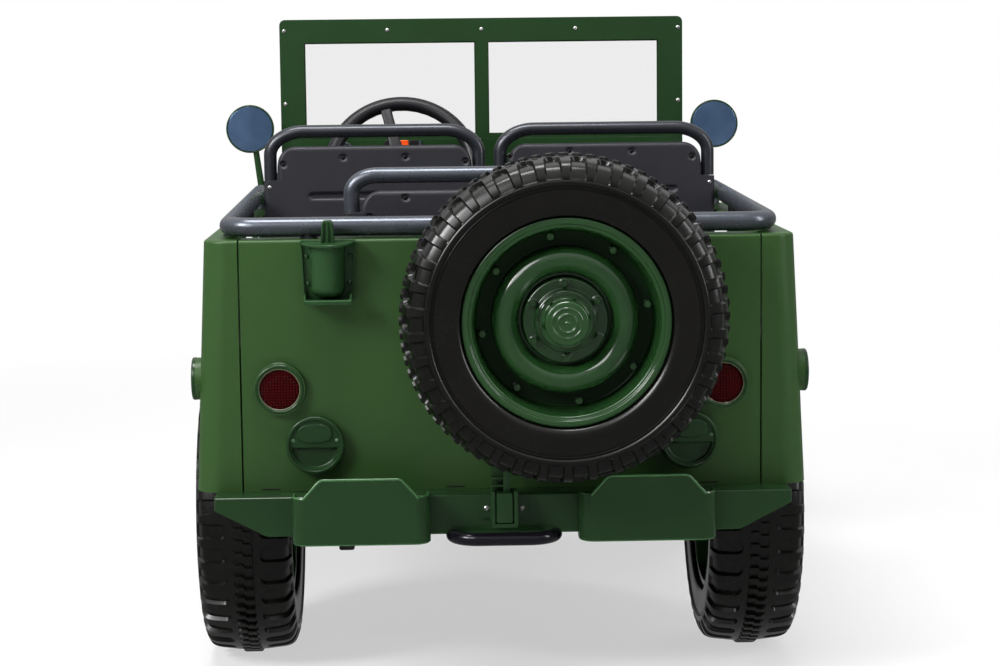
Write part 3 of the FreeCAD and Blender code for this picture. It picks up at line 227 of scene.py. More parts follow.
def moulded(name, colour, spread=0.10, rough=(0.30, 0.42), grain=0.0, mottle=6.0, shine=0.24):
    """Moulded plastic: slow colour drift, a patchy gloss, flow marks and a fine grain.

    The colour, given as on a screen, runs between (1 - spread) and (1 + spread) of itself
    over mottle cells per metre; the roughness runs over rough; grain is the depth of the
    texture in metres."""
    made = Finish(name, {"Specular IOR Level": shine})
    colour = linear(*colour)
    low, high = colour * (1 - spread), np.minimum(colour * (1 + spread), 1)
    made.feed(made.tones(made.noise(mottle, 4.0), (0.3, low), (0.7, high)), "Base Color")
    made.feed(made.span(made.noise(23.0, 6.0, 0.65), 0.3, 0.7, *rough), "Roughness")
    flow = [(made.noise(7.0, 1.0), 0.0007)]
    made.bump(*flow + ([(made.noise(1400.0, 2.0), grain)] if grain else []))
    return made


black_enamel = moulded("black_enamel", (24, 24, 25), 0.2, (0.30, 0.44), 2.5e-5, 14.0)
battery_case = moulded("battery_case", (44, 44, 48), 0.12, (0.4, 0.55), 4e-5)


def dress(finish, *names, ease=0.0, segments=2):
    """Give nodes their finish, and round their sharp edges by ease metres.

    The loose triangles are welded, edges sharper than 35 degrees are bevelled, and the
    shading follows the larger faces."""
    for name in names:
        node = nodes[name]
        node.data.materials.clear()
        node.data.materials.append(finish.material)
        if ease:
            weld = node.modifiers.new("weld", "WELD")
            weld.merge_threshold = 2e-5
            bevel = node.modifiers.new("ease", "BEVEL")
            bevel.width, bevel.segments = ease, segments
            bevel.limit_method, bevel.angle_limit = "ANGLE", np.radians(35)
            node.modifiers.new("shade", "WEIGHTED_NORMAL").keep_sharp = True


dress(black_enamel, "chassis", ease=0.0015)
dress(battery_case, "battery", ease=0.004, segments=3)

# ---------------- front and rear axles
# Steel axles under saddles on the frame, with a plastic gearbox beside each rear wheel. The
# front knuckles turn on kingpins, held together by a flat tie rod.
gearbox_black = moulded("gearbox_black", (32, 32, 34), 0.12, (0.42, 0.58), 5e-5)
dress(gearbox_black, "rear_axle", ease=0.002)
dress(black_enamel, "front_axle", "knuckle_left", "knuckle_right", "tie_rod", ease=0.0012)


def eased(corners, reach, steps=5, closed=False):
    """A line through corners, each corner turned with an arc that starts reach before it.

    An arc is the cubic curve from c + t (a - c) to c + t (b - c), whose inner controls lie
    k of the way to the corner c, with k = 4/3 tan(w/4) / tan(w/2) for a turn of w."""
    corners = np.asarray(corners, float)
    reach = np.broadcast_to(np.asarray(reach, float), len(corners))
    before, after = np.roll(corners, 1, 0) - corners, np.roll(corners, -1, 0) - corners
    back, fore = np.linalg.norm(before, axis=1), np.linalg.norm(after, axis=1)
    turn = np.pi - np.arccos(np.clip((before * after).sum(1)
                                     / np.maximum(back * fore, 1e-12), -1, 1))
    turn = np.maximum(turn, 1e-3)
    start = corners + before * np.minimum(reach / np.maximum(back, 1e-12), 0.49)[:, None]
    end = corners + after * np.minimum(reach / np.maximum(fore, 1e-12), 0.49)[:, None]
    pull = (4 / 3 * np.tan(turn / 4) / np.tan(turn / 2))[:, None]
    inner, outer = start + (corners - start) * pull, end + (corners - end) * pull
    t = np.linspace(0, 1, steps)[None, :, None]
    arcs = ((1 - t) ** 3 * start[:, None] + 3 * t * (1 - t) ** 2 * inner[:, None]
            + 3 * t ** 2 * (1 - t) * outer[:, None] + t ** 3 * end[:, None])
    if closed:
        return arcs.reshape(-1, corners.shape[1])
    return np.concatenate([corners[:1], arcs[1:-1].reshape(-1, corners.shape[1]), corners[-1:]])


def grid(rows, around=True, along=False, caps=False):
    """Points and faces of a grid of rows x columns x 3, with quads between neighbours.

    Columns close on themselves where around, rows where along; caps closes the first and
    last rows with a face each. Faces are turned outwards by the sign of the enclosed
    volume: one sixth of the sum of a . (b x c) over the triangles."""
    rows = np.asarray(rows, float)
    index = np.arange(rows.shape[0] * rows.shape[1]).reshape(rows.shape[:2])
    near, far = (index, np.roll(index, -1, 0)) if along else (index[:-1], index[1:])
    if around:
        quads = np.stack([near, np.roll(near, -1, 1), np.roll(far, -1, 1), far], -1)
    else:
        quads = np.stack([near[:, :-1], near[:, 1:], far[:, 1:], far[:, :-1]], -1)
    quads = quads.reshape(-1, 4)
    points = rows.reshape(-1, 3)
    a, b, c, d = (points[quads[:, k]] - points.mean(0) for k in range(4))
    volume = (a * np.cross(b, c)).sum() + (a * np.cross(c, d)).sum()
    ends = [index[0, ::-1].tolist(), index[-1].tolist()] if caps else []
    faces = quads.tolist() + ends
    if volume < 0:
        faces = [face[::-1] for face in faces]
    return points, faces


def piece(name, shells, finish, body, replaces=(), crease=32.0):
    """An object from shells of (points, faces), with edges sharper than crease kept sharp."""
    starts = np.cumsum([0] + [len(points) for points, _ in shells])
    points = np.concatenate([points for points, _ in shells])
    faces = [[int(k + start) for k in face] for start, (_, some) in zip(starts, shells)
             for face in some]
    mesh = bpy.data.meshes.new(name)
    mesh.from_pydata(points.tolist(), [], faces)
    mesh.materials.append(finish.material)
    mesh.polygons.foreach_set("use_smooth", np.ones(len(faces), bool))
    mesh.set_sharp_from_angle(angle=np.radians(crease))
    mesh.update()
    made = bpy.data.objects.new(name, mesh)
    scene.collection.objects.link(made)
    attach(made, body)
    if replaces:
        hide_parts(*replaces)


def slab(outline, low, high, edge, axis=1, steps=4):
    """A flat piece: a closed outline stacked along an axis from low to high, edges rounded.

    Near an end the outline moves in along its normals by e (1 - sin a) while the level
    moves by e (1 - cos a), for a from 0 to a right angle. Everything is in metres."""
    outline = np.asarray(outline, float)
    run = np.roll(outline, -1, 0) - np.roll(outline, 1, 0)
    normal = np.stack([run[:, 1], -run[:, 0]], 1) / np.linalg.norm(run, axis=1)[:, None]
    area = (outline[:, 0] * np.roll(outline[:, 1], -1) - outline[:, 1]
            * np.roll(outline[:, 0], -1)).sum()
    normal *= np.sign(area)
    a = np.linspace(0, np.pi / 2, steps)
    inset = np.concatenate([edge * (1 - np.sin(a)), edge * (1 - np.cos(a))])
    level = np.concatenate([low + edge * (1 - np.cos(a)), high - edge * (1 - np.sin(a))])
    flat = outline - normal * inset[:, None, None]
    level = np.broadcast_to(level[:, None], flat.shape[:2])
    return grid(np.insert(flat, axis, level, -1), caps=True)


def box_line(x_low, x_high, z_low, z_high, reach, steps=5):
    """A rectangle's outline with its corners rounded from reach before each corner."""
    return eased([(x_low, z_low), (x_high, z_low), (x_high, z_high), (x_low, z_high)], reach,
                 steps, closed=True)


# ---------------- floor pan
# One black moulding with a hollow hump over each rear wheel, screwed up to the tub.
# Its tread is a fine leather grain.
floor_black = moulded("floor_black", (30, 31, 31), 0.15, (0.48, 0.66), 1.2e-4)
dress(floor_black, "floor_pan", ease=0.002)

# ---------------- tub
# Three blow-moulded skins in army green, coloured through: a rear panel with its two
# lamp bezels, and two side panels that wrap the corners and meet it at dark seams.
green_skin = moulded("green_skin", (45, 75, 34), 0.06, (0.34, 0.41), 1.2e-5, 4.0)
dress(green_skin, "rear_panel", "side_panel_left", "side_panel_right", ease=0.0022,
      segments=3)

# ---------------- tail lamps
# Round moulded-on bezels with a deep red lens each; the lens has a fine square grid
# inside, and a rounded rim stands round it.
MM = 0.001
RIB_PITCH = 0.0035
lens_red = Finish("lens_red", {"Roughness": 0.14, "Specular IOR Level": 0.06,
                               "Coat Weight": 0.05, "Coat Roughness": 0.05})
lens_place = lens_red.node("SeparateXYZ")
lens_red.join(lens_red.spots(), lens_place.inputs[0])
lattice = lens_red.math("MAXIMUM", *(
    lens_red.math("SINE", lens_red.math("MULTIPLY", lens_place.outputs[way],
                                        2 * np.pi / RIB_PITCH)) for way in ("X", "Z")))
lens_red.feed(lens_red.tones(lens_red.span(lattice, 0.2, 0.95), (0.0, linear(66, 2, 4)),
                             (1.0, linear(26, 1, 2))), "Base Color")
lens_red.bump((lattice, 0.0004))


def axes(facing):
    """Three unit vectors, right-handed: facing, one to its side, and one upwards."""
    facing = np.array(facing, float) / np.linalg.norm(facing)
    up = (0, 1, 0) if abs(facing[2]) > 0.99 else (0, 0, 1)
    side = np.cross(up, facing)
    side /= np.linalg.norm(side)
    return facing, side, np.cross(facing, side)


def turned(along, radius, turn, spot, facing):
    """spot + along facing + radius (cos t side + sin t up), from lengths in millimetres."""
    front, side, up = axes(facing)
    along, radius, turn = (np.asarray(value)[..., None] for value in (along, radius, turn))
    return spot + MM * (along * front + radius * (np.cos(turn) * side + np.sin(turn) * up))


def lathe(profile, spot, facing, facets=96, loop=False):
    """A profile of (along, radius) millimetres turned about facing through spot.

    A loop joins its last point to its first, and makes a ring."""
    along, radius = np.hsplit(np.asarray(profile), 2)
    turn = np.arange(facets) * 2 * np.pi / facets
    return grid(turned(along, radius, turn, spot, facing), along=loop, caps=not loop)


def copies(shell, spots):
    """A shell (points, faces) set again at each of the spots, as one shell."""
    points, faces = shell
    spots = np.asarray(spots).reshape(-1, 3)
    moved = (points[None] + spots[:, None]).reshape(-1, 3)
    return moved, [[k + len(points) * n for k in face] for n in range(len(spots))
                   for face in faces]


def studs(spots, facing, profile, facets=24, loop=False):
    """One turned profile (along, radius, in millimetres) set at every spot, facing one way."""
    return copies(lathe(profile, (0, 0, 0), facing, facets, loop), spots)


# The bezels stand 8 mm proud of the rear panel.
tub_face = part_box("rear_panel")[0].y + 0.008
LAMP_OUT, LAMP_UP = 0.270, 0.382
lens_line = eased([(0.0, 24.4), (4.4, 24.4), (5.4, 21.5), (6.2, 12.0), (6.5, 0.4)], 1.4, 4)
bezel_line = eased([(-0.5, 32.6), (1.2, 32.6), (2.2, 31.3), (7.2, 31.0), (9.0, 29.2),
                    (9.0, 27.2), (7.4, 25.4), (0.5, 25.2)], 1.0, 4)
bezel_line = np.concatenate([bezel_line, [(-0.5, 25.2)]])
lip_line = [(5.4, 25.3), (7.3, 25.3), (7.7, 24.9), (7.3, 24.4), (5.4, 24.4)]
tail_spots = [(side * LAMP_OUT, tub_face, LAMP_UP) for side in (-1, 1)]
green_trim = moulded("green_trim", (30, 55, 29), 0.10, (0.14, 0.24), 0.8e-5, 6.0)
lens_lip = moulded("lens_lip", (128, 112, 98), 0.12, (0.12, 0.2), shine=0.5)
piece("tail_lens_pair", [studs(tail_spots, (0, -1, 0), lens_line, 64)], lens_red, "body",
      ["tail_lenses"])
piece("lamp_bezels", [studs(tail_spots, (0, -1, 0), bezel_line, 72, loop=True)], green_trim,
      "body")
piece("lens_lips", [studs(tail_spots, (0, -1, 0), lip_line, 64, loop=True)], lens_lip, "body")

# ---------------- filler caps
# Round screw-on covers below the lamps, in the darker trim green: a thick rim, a raised
# oval boss over the upper half, a half-moon finger recess below, and two small screws.
CAP_OUT, CAP_UP = 0.228, 0.3135


def cap_face():
    """A disc of rings whose height follows its place across (u) and up (v) the face.

    The rim stands outside r = 31. The boss is the oval (u/21)^2.8 + ((v-14.5)/11.5)^2.8 < 1
    and the recess the half disc r < 28 under v = -3.9, with walls a millimetre wide."""
    rings = np.concatenate([np.linspace(0.3, 30.5, 40),
                            [31.2, 31.8, 32.6, 34.0, 35.0, 35.5, 35.5]])
    turn = np.arange(96) * 2 * np.pi / 96
    u, v = np.outer(rings, np.cos(turn)), np.outer(rings, np.sin(turn))

    def wall(gap):
        """A smooth step from 0 to 1 where gap, in millimetres, passes nought."""
        return 1 / (1 + np.exp(-np.clip(gap, -30, 30) / 0.28))

    boss = wall(6 * (1 - np.abs(u / 21) ** 2.8 - np.abs((v - 14.5) / 11.5) ** 2.8))
    moon = wall(-3.9 - v) * wall(28.0 - np.hypot(u, v))
    rim = np.interp(rings, [30.5, 31.2, 31.8, 34.0, 35.0, 35.5],
                    [10.0, 12.4, 13.0, 13.0, 12.5, 11.6])[:, None]
    rise = np.where(rings[:, None] > 30.6, rim, 10.0 + 2.4 * boss - 5.0 * moon)
    rise[-1] = 0.2
    return grid(turned(rise, rings[:, None], turn, (0, 0, 0), (0, -1, 0)), caps=True)


def drifting(name, metallic, tones, cells, rough, rough_cells):
    """A metal or film whose colour drifts between two tones and whose gloss is patchy."""
    made = Finish(name, {"Metallic": metallic})
    stops = [(place, linear(*colour)) for place, colour in tones]
    made.feed(made.tones(made.noise(cells), *stops), "Base Color")
    made.feed(made.span(made.noise(rough_cells), 0.3, 0.7, *rough), "Roughness")
    return made


def screws(spots, facing, radius=3.4, height=1.6, lean=0.35):
    """Pan-head screws with a cross cut in the top, set at spots and facing one way.

    The head is a dome h (1 - 0.9 (r/R)^2.6); the cross takes 0.55 h off where either arm
    is nearer than 0.17 R across and shorter than 0.63 R along, turned by lean."""
    ring = np.array([0.02, 0.16, 0.3, 0.45, 0.6, 0.66, 0.78, 0.9, 1.0, 1.0])
    turn = np.arange(32) * 2 * np.pi / 32
    u, v = (np.abs(np.outer(ring, wave(turn - lean))) for wave in (np.cos, np.sin))
    arm = ((u < 0.17) & (v < 0.63)) | ((v < 0.17) & (u < 0.63))
    rise = height * (1 - 0.9 * ring[:, None] ** 2.6) - 0.55 * height * arm
    rise[-1] = 0.0
    head = turned(rise, radius * ring[:, None], turn, (0, 0, 0), facing)
    return copies(grid(head, caps=True), spots)


screw_steel = drifting("screw_steel", 1.0, ((0.3, (150, 150, 148)), (0.7, (205, 205, 202))),
                       160.0, (0.22, 0.42), 500.0)
screw_black = moulded("screw_black", (20, 20, 22), 0.15, (0.28, 0.4))
cap_screw_green = moulded("cap_screw_green", (86, 122, 88), 0.1, (0.2, 0.3), shine=0.5)
cap_spots = [np.array([side * CAP_OUT, tub_face, CAP_UP]) for side in (-1, 1)]
piece("filler_cap_pair", [copies(cap_face(), cap_spots)], green_trim, "body",
      ["filler_caps"], crease=40)
cap_screw_spots = [spot + [across, -0.0098, 0.006] for spot in cap_spots
                   for across in (-0.0265, 0.0265)]
piece("cap_screws", [screws(cap_screw_spots, (0, -1, 0), 2.3, 1.4)], cap_screw_green, "body")

# ---------------- side markers
# Round moulded reflectors stand on the rear ends of the side panels, each with a raised
# rim and a slightly domed face, in the darker trim green.
marker_line = eased([(-3.0, 26.3), (0.2, 26.3), (1.4, 25.2), (1.6, 22.4), (0.6, 21.2),
                     (1.4, 12.0), (1.8, 0.4)], 0.7, 3)
marker_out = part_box("side_panel_right")[1].x - 0.0004
piece("side_markers", [lathe(marker_line, (side * marker_out, tub_face + 0.046, 0.390),
                             (side, 0, 0), 56) for side in (-1, 1)],
      green_trim, "body")

# ---------------- rear beam
# A hollow moulded cross beam under the tub, its ends cut away below, in the darker trim
# green. It is screwed to the chassis; three short drain slits show above it.
dress(green_trim, "rear_bumper", ease=0.0022, segments=3)
# The slits are near-black slabs on the panel face: painted shade for their dark insides.
slit_painted_shade = moulded("slit_painted_shade", (14, 15, 14), 0.1, (0.6, 0.7))
piece("drain_slits", [slab(box_line(x - 0.0115, x + 0.0115, 0.2574, 0.2592, 0.0006),
                           tub_face - 0.0004, tub_face + 0.0008, 0.0002)
                      for x in (-0.283, -0.058, 0.253)], slit_painted_shade, "body")

# ---------------- axle foot
# A small black foot moulded under the left rear gearbox, 20 mm wide. It just shows
# below the bumperette.
piece("axle_foot", [slab(box_line(-0.208, -0.188, 0.1486, 0.1700, 0.003), -0.4790, -0.4610,
                         0.0015)], gearbox_black, "body")

# ---------------- bumperettes
# A loop of strap each side, open above and below, whose back face carries a blank number
# board with sloping shoulders. Moulded in one, 5 mm thick, with a rolled rim.
dress(green_trim, "bumperette_left", "bumperette_right", ease=0.0016, segments=3)
PLATE_BACK, LOOP_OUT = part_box("bumperette_left")[0].y, 0.172


def strap_rim(middle, level):
    """The strap's rolled edge: a bead 6 by 3.7 mm thick carried round the loop's plan."""
    plan = eased([(-0.0805, 0.037), (-0.0805, 0.0025), (0.0805, 0.0025), (0.0805, 0.037)],
                 [0.0, 0.0165, 0.0165, 0.0], 9)
    path = np.insert(plan + [middle, PLATE_BACK], 2, level, 1)
    return tube(path, 0.0030, (0, 0, 1), 12, squeeze=0.62)


def tube(path, radius, normal, facets=24, squeeze=1.0):
    """A circle carried along a flat path: p + r (cos a n + q sin a (t x n)), ends closed.

    n is the normal of the path's plane, t the path's direction and q the squeeze."""
    path = np.asarray(path, float)
    run = np.gradient(path, axis=0)
    run /= np.linalg.norm(run, axis=1)[:, None]
    normal = np.broadcast_to(np.asarray(normal, float) / np.linalg.norm(normal), path.shape)
    aside = np.cross(run, normal)
    turn = np.arange(facets) * 2 * np.pi / facets
    radius = np.broadcast_to(radius, len(path))[:, None, None]
    rows = path[:, None] + radius * (np.cos(turn)[:, None] * normal[:, None]
                                     + squeeze * np.sin(turn)[:, None] * aside[:, None])
    return grid(rows, caps=True)


# Painted highlight: the beads are a lighter green than the trim, standing in for light lines
# along rolled edges.
painted_highlight_green = moulded("painted_highlight_green", (58, 98, 58), 0.10, (0.14, 0.24), 0.0, 6.0, shine=0.5)
piece("strap_beads", [strap_rim(side * LOOP_OUT, level) for side in (-1, 1)
                      for level in (0.2572, 0.2044)], painted_highlight_green, "body")


def board_edge(middle):
    """The bead along a number board's top: up one slope, across, and down the other."""
    line = eased([(-0.0690, 0.2580), (-0.0480, 0.2812), (0.0480, 0.2812), (0.0690, 0.2580)],
                 [0, 0.004, 0.004, 0], 6)
    return tube(np.insert(line + [middle, 0], 1, PLATE_BACK + 0.0012, 1), 0.0017, (0, 1, 0), 12)


# The number boards' top beads carry the same painted highlight green.
piece("number_board_beads", [board_edge(side * LOOP_OUT) for side in (-1, 1)], painted_highlight_green,
      "body")

# ---------------- hitch and tow tube
# A square box with a loose inner pin block on a bolted foot plate, and below it a bent
# steel tube, gloss black, that leaves the beam, crosses and goes back in.
dress(green_trim, "hitch", ease=0.0012, segments=3)
hitch_low, hitch_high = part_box("hitch")
pin_block = slab(box_line(-0.0098, 0.0098, 0.2240, 0.2604, 0.002), hitch_low.y - 0.0016,
                 hitch_low.y + 0.012, 0.0012)
stop = [slab(box_line(*outline, 0.001), hitch_high.y + near, hitch_high.y + far, edge)
        for outline, near, far, edge in (
            ((-0.0150, 0.0070, 0.2545, 0.2900), -0.006, 0.006, 0.0008),
            ((-0.0013, 0.0070, 0.2600, 0.2895), -0.018, -0.004, 0.0010))]
stop += [slab(box_line(-0.0160, -0.0005, level, level + 0.0024, 0.0008), hitch_high.y - 0.017,
              hitch_high.y - 0.002, 0.0006) for level in (0.2664, 0.2758)]
piece("hitch_pin", [pin_block, *stop], green_trim, "body")
piece("hitch_screws", [screws([(across, -0.6742, 0.2385) for across in (-0.0212, 0.0212)],
                              (0, -1, 0), 3.4, 1.8)], screw_steel, "body")
gloss_black = moulded("gloss_black", (20, 18, 24), 0.15, (0.12, 0.2), 0.0, 18.0)
tow_low, tow_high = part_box("tow_tube")
TOW_RADIUS, TOW_LEVEL = 0.0080, 0.2045
tow_line, tow_half = tow_low.y + TOW_RADIUS, (tow_high.x - tow_low.x) / 2 - TOW_RADIUS
tow_plan = eased([(-tow_half, tow_high.y), (-tow_half, tow_line), (tow_half, tow_line),
                  (tow_half, tow_high.y)], [0, 0.032, 0.032, 0], 17)
piece("tow_hoop", [tube(np.insert(tow_plan, 2, TOW_LEVEL, 1), TOW_RADIUS, (0, 0, 1), 28)],
      gloss_black, "body", ["tow_tube"])

# ---------------- tool holder
# One moulding for the toy's spade: a tapered back plate with raised sides, a half-round
# cup rounded off below, a thin sagging shelf on top, a square tray under it, a ribbed peg.
# Four plastic rivets hold it on the rear panel.
bracket_low, bracket_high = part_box("tool_bracket")
HOLDER_X, HOLDER_BASE = (bracket_low.x + bracket_high.x) / 2, bracket_low.z
SHELF_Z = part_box("rear_panel")[1].z
HOLDER_FACE = bracket_high.y - 0.004
HALF_TOP, HALF_BASE, CUP_RADIUS = 0.0335, 0.0300, 0.0208


def cup():
    """A half-round column, x = r sin a, whose depth d(z) shrinks over the lowest 15 mm.

    d = r sqrt(1 - ((z0 + h - z) / h)^2) below z0 + h, for h = 15 mm, and d = r above it."""
    a = np.linspace(-np.pi / 2, np.pi / 2, 33)
    floor, round_height = HOLDER_BASE + 0.006, 0.015
    dip = np.sin(np.linspace(0.06, np.pi / 2, 10))
    level = np.concatenate([floor + round_height * (1 - np.cos(np.arcsin(dip))),
                            np.linspace(floor + round_height + 0.004, SHELF_Z - 0.0040, 8)])
    share = np.concatenate([dip, np.ones(8)])[:, None]
    side, out = CUP_RADIUS * np.sin(a), 0.0100 + CUP_RADIUS * np.cos(a)
    side = np.concatenate([side, side[::-1] * 0.98])
    out = np.concatenate([out, np.full(33, -0.0005)])
    rows = np.stack([side * share ** 0.5, HOLDER_FACE - np.maximum(out * share, -0.0005),
                     np.broadcast_to(level[:, None], (18, 66))], -1)
    return grid(rows, caps=True)


def shelf():
    """The top shelf: half an ellipse in plan, 34 by 40 mm, sagging 3 mm at its front."""
    a = np.linspace(0, np.pi, 41)
    across, forward = HALF_TOP * np.cos(a), 0.0395 * np.sin(a) ** 0.8
    top = SHELF_Z - 0.0034 * np.sin(a) ** 1.2
    lip = np.stack([across, HOLDER_FACE - forward, top - 0.0012], 1)
    inner = np.stack([across * 0.94, HOLDER_FACE - forward * 0.92 + 0.0005, top - 0.0026], 1)
    root = np.stack([across * 0.9, np.full(41, HOLDER_FACE + 0.001),
                     np.full(41, SHELF_Z - 0.0046)], 1)
    rows = np.stack([root + [0, 0, 0.0024], inner + [0, 0, 0.0004], lip + [0, 0.0006, 0.0008],
                     lip, lip + [0, 0.0004, -0.0022], inner - [0, 0, 0.0022], root])
    return grid(rows, around=False, along=True)


def taper_line(half_top, half_base, low, high):
    """A four-sided outline as wide as its two ends say, its corners turned by 3 mm."""
    return eased([(-half_base, low), (half_base, low), (half_top, high), (-half_top, high)],
                 0.003, 4, closed=True)


def at_holder(shells):
    """Shells drawn about the holder's middle, moved to its place on the panel."""
    return [(points + [HOLDER_X, 0, 0], faces) for points, faces in shells]


plate = slab(taper_line(HALF_TOP, HALF_BASE, HOLDER_BASE, SHELF_Z), HOLDER_FACE,
             bracket_high.y, 0.0008)
flanges = [slab(eased([(side * (HALF_BASE - 0.0018), HOLDER_BASE + 0.001),
                       (side * HALF_BASE, HOLDER_BASE + 0.001),
                       (side * HALF_TOP, SHELF_Z - 0.001),
                       (side * (HALF_TOP - 0.0018), SHELF_Z - 0.001)], 0.0004, 3, closed=True),
                HOLDER_FACE - 0.0042, HOLDER_FACE + 0.001, 0.0004, steps=3)
           for side in (-1, 1)]
TRAY_OUT, TRAY_IN, TRAY_FRONT = HALF_BASE - 0.001, HALF_BASE - 0.0034, HOLDER_FACE - 0.0315
tray_corners = [(-TRAY_OUT, 0), (TRAY_OUT, 0), (TRAY_OUT, 0.0120), (TRAY_IN, 0.0120),
                (TRAY_IN, 0.0052), (-TRAY_IN, 0.0052), (-TRAY_IN, 0.0120), (-TRAY_OUT, 0.0120)]
tray = slab(eased(np.array(tray_corners) + [0, HOLDER_BASE],
                  [0.003, 0.003, 0.0008, 0.0008, 0.003, 0.003, 0.0008, 0.0008], 4, closed=True),
            TRAY_FRONT, HOLDER_FACE + 0.001, 0.0007, steps=3)
peg = slab(taper_line(0.0064, 0.0086, SHELF_Z - 0.004, bracket_high.z),
           HOLDER_FACE - 0.0080, HOLDER_FACE + 0.001, 0.0012)
peg_ribs = [slab(eased([(low_x - 0.0014, SHELF_Z - 0.003), (low_x + 0.0014, SHELF_Z - 0.003),
                        (high_x + 0.0010, bracket_high.z - 0.0016),
                        (high_x - 0.0010, bracket_high.z - 0.0016)], 0.0009, 3, closed=True),
                 HOLDER_FACE - 0.0104, HOLDER_FACE - 0.007, 0.0007)
            for low_x, high_x in ((-0.0071, -0.0050), (0.0, 0.0), (0.0071, 0.0050))]
bead_path = [(side * (HALF_BASE - 0.0024), TRAY_FRONT + 0.0003, HOLDER_BASE + up)
             for side, up in ((-1, 0.0118), (-1, 0.0047), (1, 0.0047), (1, 0.0118))]
# The tray bead is a painted highlight line along the tray's front edges.
piece("tray_bead", at_holder([tube(bead_path, 0.0008, (0, 1, 0), 10)]), painted_highlight_green, "body")
# Painted light: the holder is the trim green made lighter, to lift the shade in its tray and
# behind its cup.
holder_painted_light = moulded("holder_painted_light", (38, 68, 38), 0.10, (0.14, 0.24), 0.8e-5, 6.0)
piece("tool_holder", at_holder([shelf(), plate, cup(), *flanges, tray, peg, *peg_ribs]),
      holder_painted_light, "body", ["tool_bracket"])
rivet = [(0.0, 3.4), (0.5, 3.3), (1.3, 2.7), (1.9, 1.6), (2.1, 0.2)]
rivet_spots = [(side * across, HOLDER_FACE, up) for across, up in
               ((0.0262, 0.5430), (0.0250, 0.5105)) for side in (-1, 1)]
piece("holder_rivets", at_holder([studs(rivet_spots, (0, -1, 0), rivet, 18)]), holder_painted_light,
      "body")

# ---------------- cowl, dash and instruments
# The cowl is a green moulding that carries the windscreen. The dash behind the wheel is
# the darker trim green, with a grey switch plate, a dial and an orange rocker on it.
dress(green_skin, "cowl", ease=0.0022, segments=3)
dress(green_trim, "dash_panel", ease=0.003, segments=3)
dial_grey = moulded("dial_grey", (56, 60, 64), 0.12, (0.3, 0.42), 2e-5)
dress(dial_grey, "dash_instruments", ease=0.0008)
rocker_orange = moulded("rocker_orange", (232, 82, 26), 0.06, (0.22, 0.34))
dial_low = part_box("dash_instruments")[0]
bezel_line = eased([(-1.0, 16.6), (1.0, 16.6), (2.0, 15.8), (2.0, 14.2), (0.8, 13.4),
                    (0.6, 4.0), (1.2, 3.2), (1.6, 0.3)], 0.6, 3)
piece("dial_bezel", [lathe(bezel_line, (dial_low.x + 0.016, dial_low.y, 0.636), (0, -1, 0), 56)],
      dial_grey, "body")
rocker_low, rocker_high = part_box("dash_switch")
ROCKER_LEVEL, ROCKER_HALF = 0.6485, 0.0055
rocker_points, rocker_faces = slab(
    box_line(-0.1380, -0.1160, ROCKER_LEVEL - ROCKER_HALF, ROCKER_LEVEL + ROCKER_HALF, 0.0022),
    rocker_low.y, rocker_high.y + 0.001, 0.0014)
# The face is hollowed towards its pivot line, 1.6 mm deep there.
hollow = 0.0016 * (1 - np.abs(rocker_points[:, 2] - ROCKER_LEVEL) / ROCKER_HALF)
rocker_points[:, 1] += hollow * (rocker_points[:, 1] < rocker_low.y + 0.003)
piece("dash_rocker", [(rocker_points, rocker_faces)], rocker_orange, "body",
      ["dash_switch"])
sunk_plates = [slab(box_line(x - 0.0065, x + 0.0065, 0.6420, 0.6540, 0.0016), dial_low.y + 0.0008,
                    dial_low.y + 0.003, 0.0005) for x in (-0.1465, -0.1070)]
piece("side_switches", sunk_plates, screw_black, "body")

# ---------------- windscreen
# A flat green frame with a middle post, folded from one moulding, round two thin clear
# sheets. Bright self-tapping screws hold its front and back halves together.
dress(green_trim, "windscreen_frame", ease=0.0035, segments=3)
screen_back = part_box("windscreen_frame")[0].y
clear_sheet = Finish("clear_sheet", {"Base Color": (0.74, 0.73, 0.73, 1), "IOR": 1.05,
                                     "Transmission Weight": 1.0, "Alpha": 0.11})
clear_sheet.feed(clear_sheet.span(clear_sheet.noise(14.0), 0.3, 0.7, 0.03, 0.10), "Roughness")
dress(clear_sheet, "windscreen_panes")
screw_places = [(x, 0.8245) for x in (-0.308, -0.147, 0.0, 0.147, 0.308)]
screw_places += [(-0.308, 0.7110), (0.308, 0.7110), (-0.0700, 0.6480)]
piece("windscreen_screws", [screws([(x, screen_back, z) for x, z in screw_places], (0, -1, 0),
                                   3.2, 1.5, 0.6)], screw_steel, "body")
PANE_IN, PANE_OUT, PANE_LOW, PANE_TOP = 0.0102, 0.2765, 0.6618, 0.8052
seal_lines = [((side * PANE_IN, level), (side * PANE_OUT, level))
              for level in (PANE_LOW, PANE_TOP) for side in (-1, 1)]
seal_lines += [((side * across, PANE_LOW), (side * across, PANE_TOP))
               for across in (PANE_IN, PANE_OUT) for side in (-1, 1)]
piece("screen_seals", [tube([(x, screen_back + 0.0086, z) for x, z in line], 0.0011, (0, 1, 0), 8)
                       for line in seal_lines], green_trim, "body")

